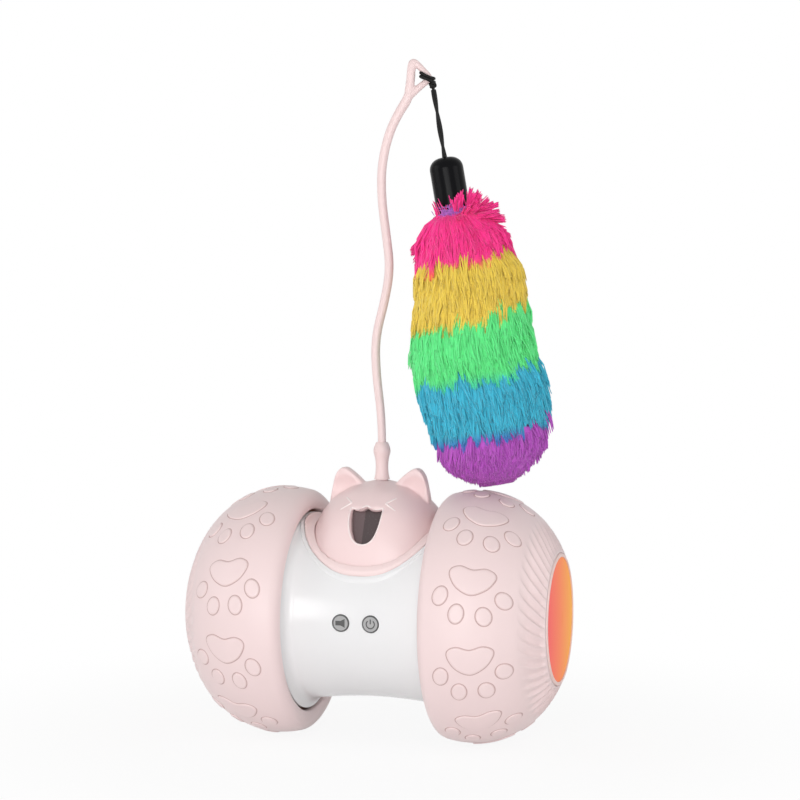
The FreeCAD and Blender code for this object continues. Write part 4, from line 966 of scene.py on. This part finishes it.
def dyed(name, colour, tips, last):
    """Plush in one colour that runs into the next at its lower end."""
    # A faint glow in the dye's colour is painted light that lifts the shade between the strands
    material = strand_colour(name, colour, 0.62, Sheen_Weight=0.2, Emission_Strength=0.03)
    nodes, links = material.node_tree.nodes, material.node_tree.links
    skin = skin_of(material)
    skin.inputs["Drift Size"].default_value = 420.0
    place = nodes.new("ShaderNodeTexCoord")
    along = nodes.new("ShaderNodeVectorMath")
    along.operation = "DOT_PRODUCT"
    along.inputs[1].default_value = DOWN
    links.new(place.outputs["Object"], along.inputs[0])
    hem = DOWN.dot(Vector(KNOT)) + last
    run = ranged(nodes, links, along.outputs["Value"], (hem - DYE_RUN) * MM, hem * MM, way="SMOOTHSTEP")
    dye = between(nodes, links, run, colour, tips)
    # Light that bounces off the pile onto the toy carries only half of its colour
    bounced = nodes.new("ShaderNodeLightPath").outputs["Is Diffuse Ray"]
    seen = between(nodes, links, reckoned(nodes, links, "MULTIPLY", bounced, 0.5), dye, BOUNCE_COLOUR)
    links.new(seen, skin.inputs["Colour"])
    # The painted glow takes the dye's colour
    links.new(seen, nodes["Principled BSDF"].inputs["Emission Color"])
    return material


class Pile:
    """Strands of one band, gathered as points and faces."""

    def __init__(self):
        self.points = []
        self.faces = []

    def strand(self, route, thick, turned):
        """A three-sided strand through its places, down to a closed point."""
        first = len(self.points)
        along = (route[-1] - route[0]).normalized()
        across = along.orthogonal()
        across.rotate(Matrix.Rotation(turned, 3, along))
        over = along.cross(across)
        rings = len(route) - 1
        for place, (_, share) in zip(route, STRAND_SHAPE):
            for k in range(3):
                angle = 2 * math.pi * k / 3
                out = (across * math.cos(angle) + over * math.sin(angle)) * (thick * share)
                self.points.append((place + out) * MM)
        self.points.append(route[-1] * MM)
        tip = len(self.points) - 1
        self.faces.append((first + 2, first + 1, first))
        for ring in range(rings - 1):
            a = first + 3 * ring
            for k in range(3):
                n = (k + 1) % 3
                self.faces.append((a + k, a + n, a + 3 + n, a + 3 + k))
        a = first + 3 * (rings - 1)
        for k in range(3):
            self.faces.append((a + k, a + (k + 1) % 3, tip))

    def mesh(self, name):
        made = bpy.data.meshes.new(name)
        made.from_pydata(self.points, [], self.faces)
        return made


def comb(pile, rng, drop, turn, length):
    """A clump: strands from a wide root that draw together towards their tips."""
    lean = rng.gauss(0, CLUMP_LEAN)
    lift = rng.gauss(*CLUMP_LIFT)
    for _ in range(CLUMP_STRANDS):
        end = min(drop + rng.gauss(0, TIP_DROP), LOWEST_TIP)
        start = max(HIGHEST_ROOT, end - length * rng.uniform(0.8, 1.05))
        radius, shift = plush_at(end)
        root_radius, root_shift = plush_at(start)
        wide = 1.0 / max(5.0, radius)
        end_turn = turn + rng.gauss(0, TIP_ROUND * wide)
        start_turn = turn + lean * wide + rng.gauss(0, ROOT_ROUND * wide)
        low = radius + rng.gauss(*TIP_OUT) + lift
        top = max(1.0, min(root_radius - ROOT_DEPTH, 0.85 * low) + rng.gauss(0, ROOT_OUT))
        bow = rng.gauss(0, BOW * wide)
        route = []
        for share in STRAND_STEPS:
            ease = 1 - (1 - share) ** 2.6
            route.append(hung(start + (end - start) * share, top + (low - top) * ease,
                              start_turn + (end_turn - start_turn) * share + bow * math.sin(math.pi * share),
                              root_shift + (shift - root_shift) * share))
        pile.strand(route, STRAND_RADIUS * rng.uniform(0.8, 1.15), rng.uniform(0, 2))


def band_strands(number, pile, rng):
    """Clumps all over a band, from its top down to its hem."""
    _, first, last, clumps, length, _, _ = BANDS[number]
    bottom = number == len(BANDS) - 1
    for k in range(clumps):
        share = (k + 0.5) / clumps
        turn = 2 * math.pi * (k * GOLDEN_SHARE % 1.0) + rng.gauss(0, 0.02)
        top = max(first - hem_lift(turn) * (number > 0) + 2.2, 45.0)
        low = last + 0.5 - (0.0 if bottom else hem_lift(turn))
        drop = top + (low - top) * share ** 0.9 + rng.gauss(0, 0.35)
        comb(pile, rng, min(drop, low), turn, length)


# The way round the plush is in degrees here: 0 is the right side, and -90 the front
FRINGE_RIBBONS = 50
FRINGE_RIGHT = (-75, 60)
FRINGE_LEFT = (150, 200)
# Where the ribbons' tips and roots are, as (for the lowest ribbon, change to the highest)
FRINGE_TIPS = (57.0, -21.0)
FRINGE_REACH = (16.8, -8.5)
FRINGE_ROOTS = (46.5, -2.5)
ROOT_RADIUS = 5.0
RIBBON_STRANDS = 14
RIBBON_THICK = 0.2
SHORT_STRANDS = 60
SHORT_ROUND = (-150, 60)
SHORT_START = 46.0
SHORT_LENGTHS = (2.0, 9.0)
SHORT_THICK = 0.16
TUFT_STRANDS = 420
TUFT_TURN = (-76, 17)
TUFT_DROP = 44.6
TUFT_OUT = 6.1
TUFT_LENGTHS = (1.0, 3.4)
TUFT_THICK = 0.11


def fringe(pile, rng):
    """Ribbon ends that stand out round the cap's right side, and a few on the left."""
    for k in range(FRINGE_RIBBONS):
        rise = rng.uniform(0, 1)
        turn = math.radians(rng.uniform(*FRINGE_RIGHT))
        if k % 9 == 0:
            turn = math.radians(rng.uniform(*FRINGE_LEFT))
            rise = rng.uniform(0.0, 0.15)
        tip_drop = FRINGE_TIPS[0] + FRINGE_TIPS[1] * rise + rng.gauss(0, 0.8)
        tip_out = FRINGE_REACH[0] + FRINGE_REACH[1] * rise ** 3 + rng.gauss(0, 0.5)
        start_drop = FRINGE_ROOTS[0] + FRINGE_ROOTS[1] * rise
        for _ in range(RIBBON_STRANDS):
            spread = rng.gauss(0, 0.055)
            slip = rng.gauss(0, 0.55)
            route = []
            for share in STRAND_STEPS:
                route.append(hung(start_drop + slip + (tip_drop - start_drop) * share ** 1.15,
                                  ROOT_RADIUS + (tip_out - ROOT_RADIUS) * share,
                                  turn + spread * (0.5 + 0.6 * share)))
            pile.strand(route, RIBBON_THICK, rng.uniform(0, 2))
    for _ in range(SHORT_STRANDS):
        turn = math.radians(rng.uniform(*SHORT_ROUND))
        start = SHORT_START + rng.uniform(-0.5, 1.0)
        lift = rng.uniform(*SHORT_LENGTHS)
        lean = rng.gauss(0, 0.25)
        route = [hung(start - lift * share, 5.9 + 1.2 * share ** 2, turn + lean * share)
                 for share in STRAND_STEPS]
        pile.strand(route, SHORT_THICK, rng.uniform(0, 2))


def tuft(pile, rng):
    """The dark tuft at the front, where the strip's end is tied in under the cap."""
    for _ in range(TUFT_STRANDS):
        turn = math.radians(rng.gauss(*TUFT_TURN))
        drop = TUFT_DROP + rng.gauss(0, 1.3)
        out = TUFT_OUT + rng.uniform(0, 1.2)
        away = rng.uniform(*TUFT_LENGTHS)
        heading = rng.uniform(0, 2 * math.pi)
        route = []
        for share in STRAND_STEPS:
            route.append(hung(drop + away * math.sin(heading) * share, out + 0.9 * share,
                              turn + away * math.cos(heading) * share / 7.5))
        pile.strand(route, TUFT_THICK, rng.uniform(0, 2))


def plush_form(first, last):
    """The closed form that the strands of a band stand on."""
    bm = bmesh.new()
    low = min(last, STEM_COVER)
    outline = [hung(first - FORM_TOP)]
    count = 10
    for k in range(count + 1):
        drop = first - FORM_TOP + (low - first + FORM_TOP) * k / count
        outline.append(hung(drop, max(2.0, plush_at(drop)[0] - PILE_DEPTH)))
    outline.append(hung(low))
    spin_outline(bm, [place * MM for place in outline], DOWN, Vector(KNOT) * MM, 48, closed=False)
    for vert in bm.verts:
        drop = (vert.co / MM - Vector(KNOT)).dot(DOWN)
        vert.co += ASIDE * (plush_at(drop)[1] * MM)
    return mesh_from(bm, "form")


def plush_band(number):
    name, first, last, _, _, colour, tips = BANDS[number]
    rng = random.Random(PLUSH_SEED + number)
    pile = Pile()
    band_strands(number, pile, rng)
    if name == "pink":
        fringe(pile, rng)
    bm = bmesh.new()
    bm.from_mesh(pile.mesh("strands"))
    top = first - (FORM_OVERLAP if number else 0.0)
    low = last - (FORM_OVERLAP if name != "purple" else 0.0)
    bm.from_mesh(plush_form(top, low))
    node = "plush_" + name
    material = dyed(node, colour, tips, last)
    piece = keep(mesh_from(bm, node), node + "_pile", "teaser", material, (node,))


def tied_tuft():
    rng = random.Random(TUFT_SEED)
    pile = Pile()
    tuft(pile, rng)
    material = strand_colour("tuft_purple", (0.50, 0.14, 0.62), 0.62, Sheen_Weight=0.3)
    keep(pile.mesh("tuft"), "tied_tuft", "teaser", material)


for band_number in range(len(BANDS)):
    plush_band(band_number)
tied_tuft()


# The frame's own pieces, in their finishes

LENS_RADIUS = 20
# Where the window's painted shade turns from its lighter left half to its darker right half
WINDOW_SHADE_SPLIT = (-1.15, -0.85)


def lit_lens():
    """A lens that glows from coral at the front to orange at the back."""
    material = moulded("lit_lens", (0.9, 0.2, 0.2), 0.5, Emission_Strength=0.62, Specular_IOR_Level=0.15)
    nodes, links = material.node_tree.nodes, material.node_tree.links
    run = ranged(nodes, links, place_along(nodes, links, "Y"), -LENS_RADIUS * MM, LENS_RADIUS * MM)
    ramp = nodes.new("ShaderNodeValToRGB")
    links.new(run, ramp.inputs["Fac"])
    ramp.color_ramp.elements[0].color = (0.87, 0.11, 0.12, 1)
    ramp.color_ramp.elements[1].color = (0.87, 0.39, 0.04, 1)
    middle = ramp.color_ramp.elements.new(0.45)
    middle.color = (0.88, 0.22, 0.085, 1)
    dim = nodes.new("ShaderNodeVectorMath")
    dim.operation = "SCALE"
    dim.inputs["Scale"].default_value = 0.45
    links.new(ramp.outputs["Color"], dim.inputs[0])
    links.new(dim.outputs[0], skin_of(material).inputs["Colour"])
    links.new(ramp.outputs["Color"], nodes["Principled BSDF"].inputs["Emission Color"])
    return material


def smoked_window():
    """A dark window in painted shade of the hollow behind the mouth: its lighter left half and darker right
    half are the painted shade of two inner walls.
    """
    material = moulded("smoked_window", (0.1, 0.1, 0.1), 0.22)
    nodes, links = material.node_tree.nodes, material.node_tree.links
    low, high = WINDOW_SHADE_SPLIT
    run = ranged(nodes, links, place_along(nodes, links, "X"), low * MM, high * MM)
    # The two halves are painted shade of two inner walls, lighter on the left and darker on the right
    shade_halves = between(nodes, links, run, (0.133, 0.091, 0.095), (0.070, 0.049, 0.051))
    links.new(shade_halves, skin_of(material).inputs["Colour"])
    return material


FINISHES = (
    (lit_lens(), ("lens",)),
    (moulded("ring_pink", (0.90, 0.68, 0.64), 0.4), ("lens_ring",)),
    (moulded("hub_plastic", (0.75, 0.72, 0.70), 0.5), ("wheel_hub",)),
    (metal("turned_steel", (0.55, 0.55, 0.56), 0.28),
     ("wheel_shaft", "hub_screw", "motor_shaft", "motor", "compound_pins", "gearbox_screws", "shell_screws",
      "charging_socket")),
    (metal("turned_brass", (0.72, 0.52, 0.22), 0.25), ("motor_pinion", "shaft_bushes")),
    (moulded("gear_nylon", (0.78, 0.76, 0.68), 0.4), ("output_gear", "compound_gear")),
    (moulded("inner_plastic", (0.62, 0.62, 0.62), 0.5),
     ("end_plate", "gearbox_cover", "battery_strap", "head_frame")),
    (moulded("board_green", (0.01, 0.10, 0.03), 0.4),
     ("led_board", "main_board", "charging_board", "sensor_board")),
    (gloss_white, ("front_shell", "rear_shell")),
    (metal("weight_steel", (0.30, 0.30, 0.31), 0.45), ("steel_weight",)),
    (metal("cell_foil", (0.70, 0.71, 0.73), 0.35), ("battery",)),
    (moulded("black_plastic", (0.02, 0.02, 0.02), 0.45), ("button_switches",)),
    (moulded("speaker_black", (0.03, 0.03, 0.03), 0.4), ("speaker",)),
    (button_grey, ("sound_button", "power_button")),
    (smoked_window(), ("mouth_window",)),
    (wand_pink, ("wand_base",)),
    (cap_black, ("teaser_cap",)),
)


def dress_frame():
    for material, names in FINISHES:
        for name in names:
            for node in (name, name + "_left", name + "_right"):
                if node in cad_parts:
                    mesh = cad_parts[node].data
                    mesh.materials.clear()
                    mesh.materials.append(material)


dress_frame()


# Stage

# The floor is plain white from the far distance on. Nearer than the near one, white has this share
FLOOR_SIZE = 3000.0
FLOOR_NEAR = 50.0
FLOOR_FAR = 220.0
FLOOR_WHITE = 0.9
# How strongly the sky lights the toy, at the horizon and higher up
SKY_LOW = 0.5
SKY_TOP = 0.44


def seen_directly(nodes, links):
    """1 for rays from the camera, also by way of a gloss or a clear piece, and 0 for light on the toy."""
    path = nodes.new("ShaderNodeLightPath")
    total = path.outputs["Is Camera Ray"]
    for ray in ("Is Glossy Ray", "Is Transmission Ray"):
        total = reckoned(nodes, links, "MAXIMUM", total, path.outputs[ray])
    return total


def surfaced(nodes, links, share, first, second, end):
    """Two shaders, mixed by a share, as what a material or a world shows."""
    mix = nodes.new("ShaderNodeMixShader")
    links.new(share, mix.inputs["Fac"])
    links.new(first.outputs[0], mix.inputs[1])
    links.new(second.outputs[0], mix.inputs[2])
    links.new(mix.outputs[0], nodes[end].inputs["Surface"])


def floor_paper():
    """White paper: it takes the object's shadow near the object and is plain white further off."""
    paper = bpy.data.materials.new("floor_paper")
    paper.use_nodes = True
    nodes, links = paper.node_tree.nodes, paper.node_tree.links
    shader = nodes["Principled BSDF"]
    shader.inputs["Base Color"].default_value = (0.93, 0.93, 0.93, 1)
    shader.inputs["Roughness"].default_value = 0.8
    shader.inputs["Specular IOR Level"].default_value = 0.1
    white = nodes.new("ShaderNodeEmission")
    place = nodes.new("ShaderNodeTexCoord")
    away = nodes.new("ShaderNodeVectorMath")
    away.operation = "LENGTH"
    links.new(place.outputs["Object"], away.inputs[0])
    run = ranged(nodes, links, away.outputs["Value"], FLOOR_NEAR * MM, FLOOR_FAR * MM, FLOOR_WHITE, 1.0,
                 "SMOOTHSTEP")
    share = reckoned(nodes, links, "MULTIPLY", run, seen_directly(nodes, links))
    surfaced(nodes, links, share, shader, white, "Material Output")
    return paper


# Each lamp's place, what it is aimed at, its size and its power
LAMPS = (
    ("front_softbox", (90, -720, 90), (0, 0, 80), 450, 3.3),
    ("left_softbox", (-600, -350, 320), (0, 0, 60), 400, 0.75),
    ("right_softbox", (650, -150, 260), (0, 0, 60), 350, 0.6),
)


def studio():
    bm = bmesh.new()
    bmesh.ops.create_grid(bm, x_segments=1, y_segments=1, size=FLOOR_SIZE * MM)
    floor_mesh = mesh_from(bm, "studio_floor")
    floor = bpy.data.objects.new("studio_floor", floor_mesh)
    SCENE.collection.objects.link(floor)
    floor_mesh.materials.append(floor_paper())
    world = bpy.data.worlds.new("studio")
    world.use_nodes = True
    SCENE.world = world
    nodes, links = world.node_tree.nodes, world.node_tree.links
    glow = nodes["Background"]
    glow.inputs["Color"].default_value = (1, 1, 1, 1)
    rise = place_along(nodes, links, "Z", "Generated")
    links.new(ranged(nodes, links, rise, 0.0, 0.8, SKY_LOW, SKY_TOP), glow.inputs["Strength"])
    backdrop = nodes.new("ShaderNodeBackground")
    backdrop.inputs["Color"].default_value = (1, 1, 1, 1)
    surfaced(nodes, links, seen_directly(nodes, links), glow, backdrop, "World Output")
    for name, place, aim, size, power in LAMPS:
        lamp = bpy.data.lights.new(name, "AREA")
        lamp.size = size * MM
        lamp.energy = power
        holder = bpy.data.objects.new(name, lamp)
        holder.location = mm(*place)
        holder.rotation_euler = (mm(*aim) - mm(*place)).to_track_quat("-Z", "Y").to_euler()
        SCENE.collection.objects.link(holder)


studio()
SCENE.view_settings.view_transform = "Standard"
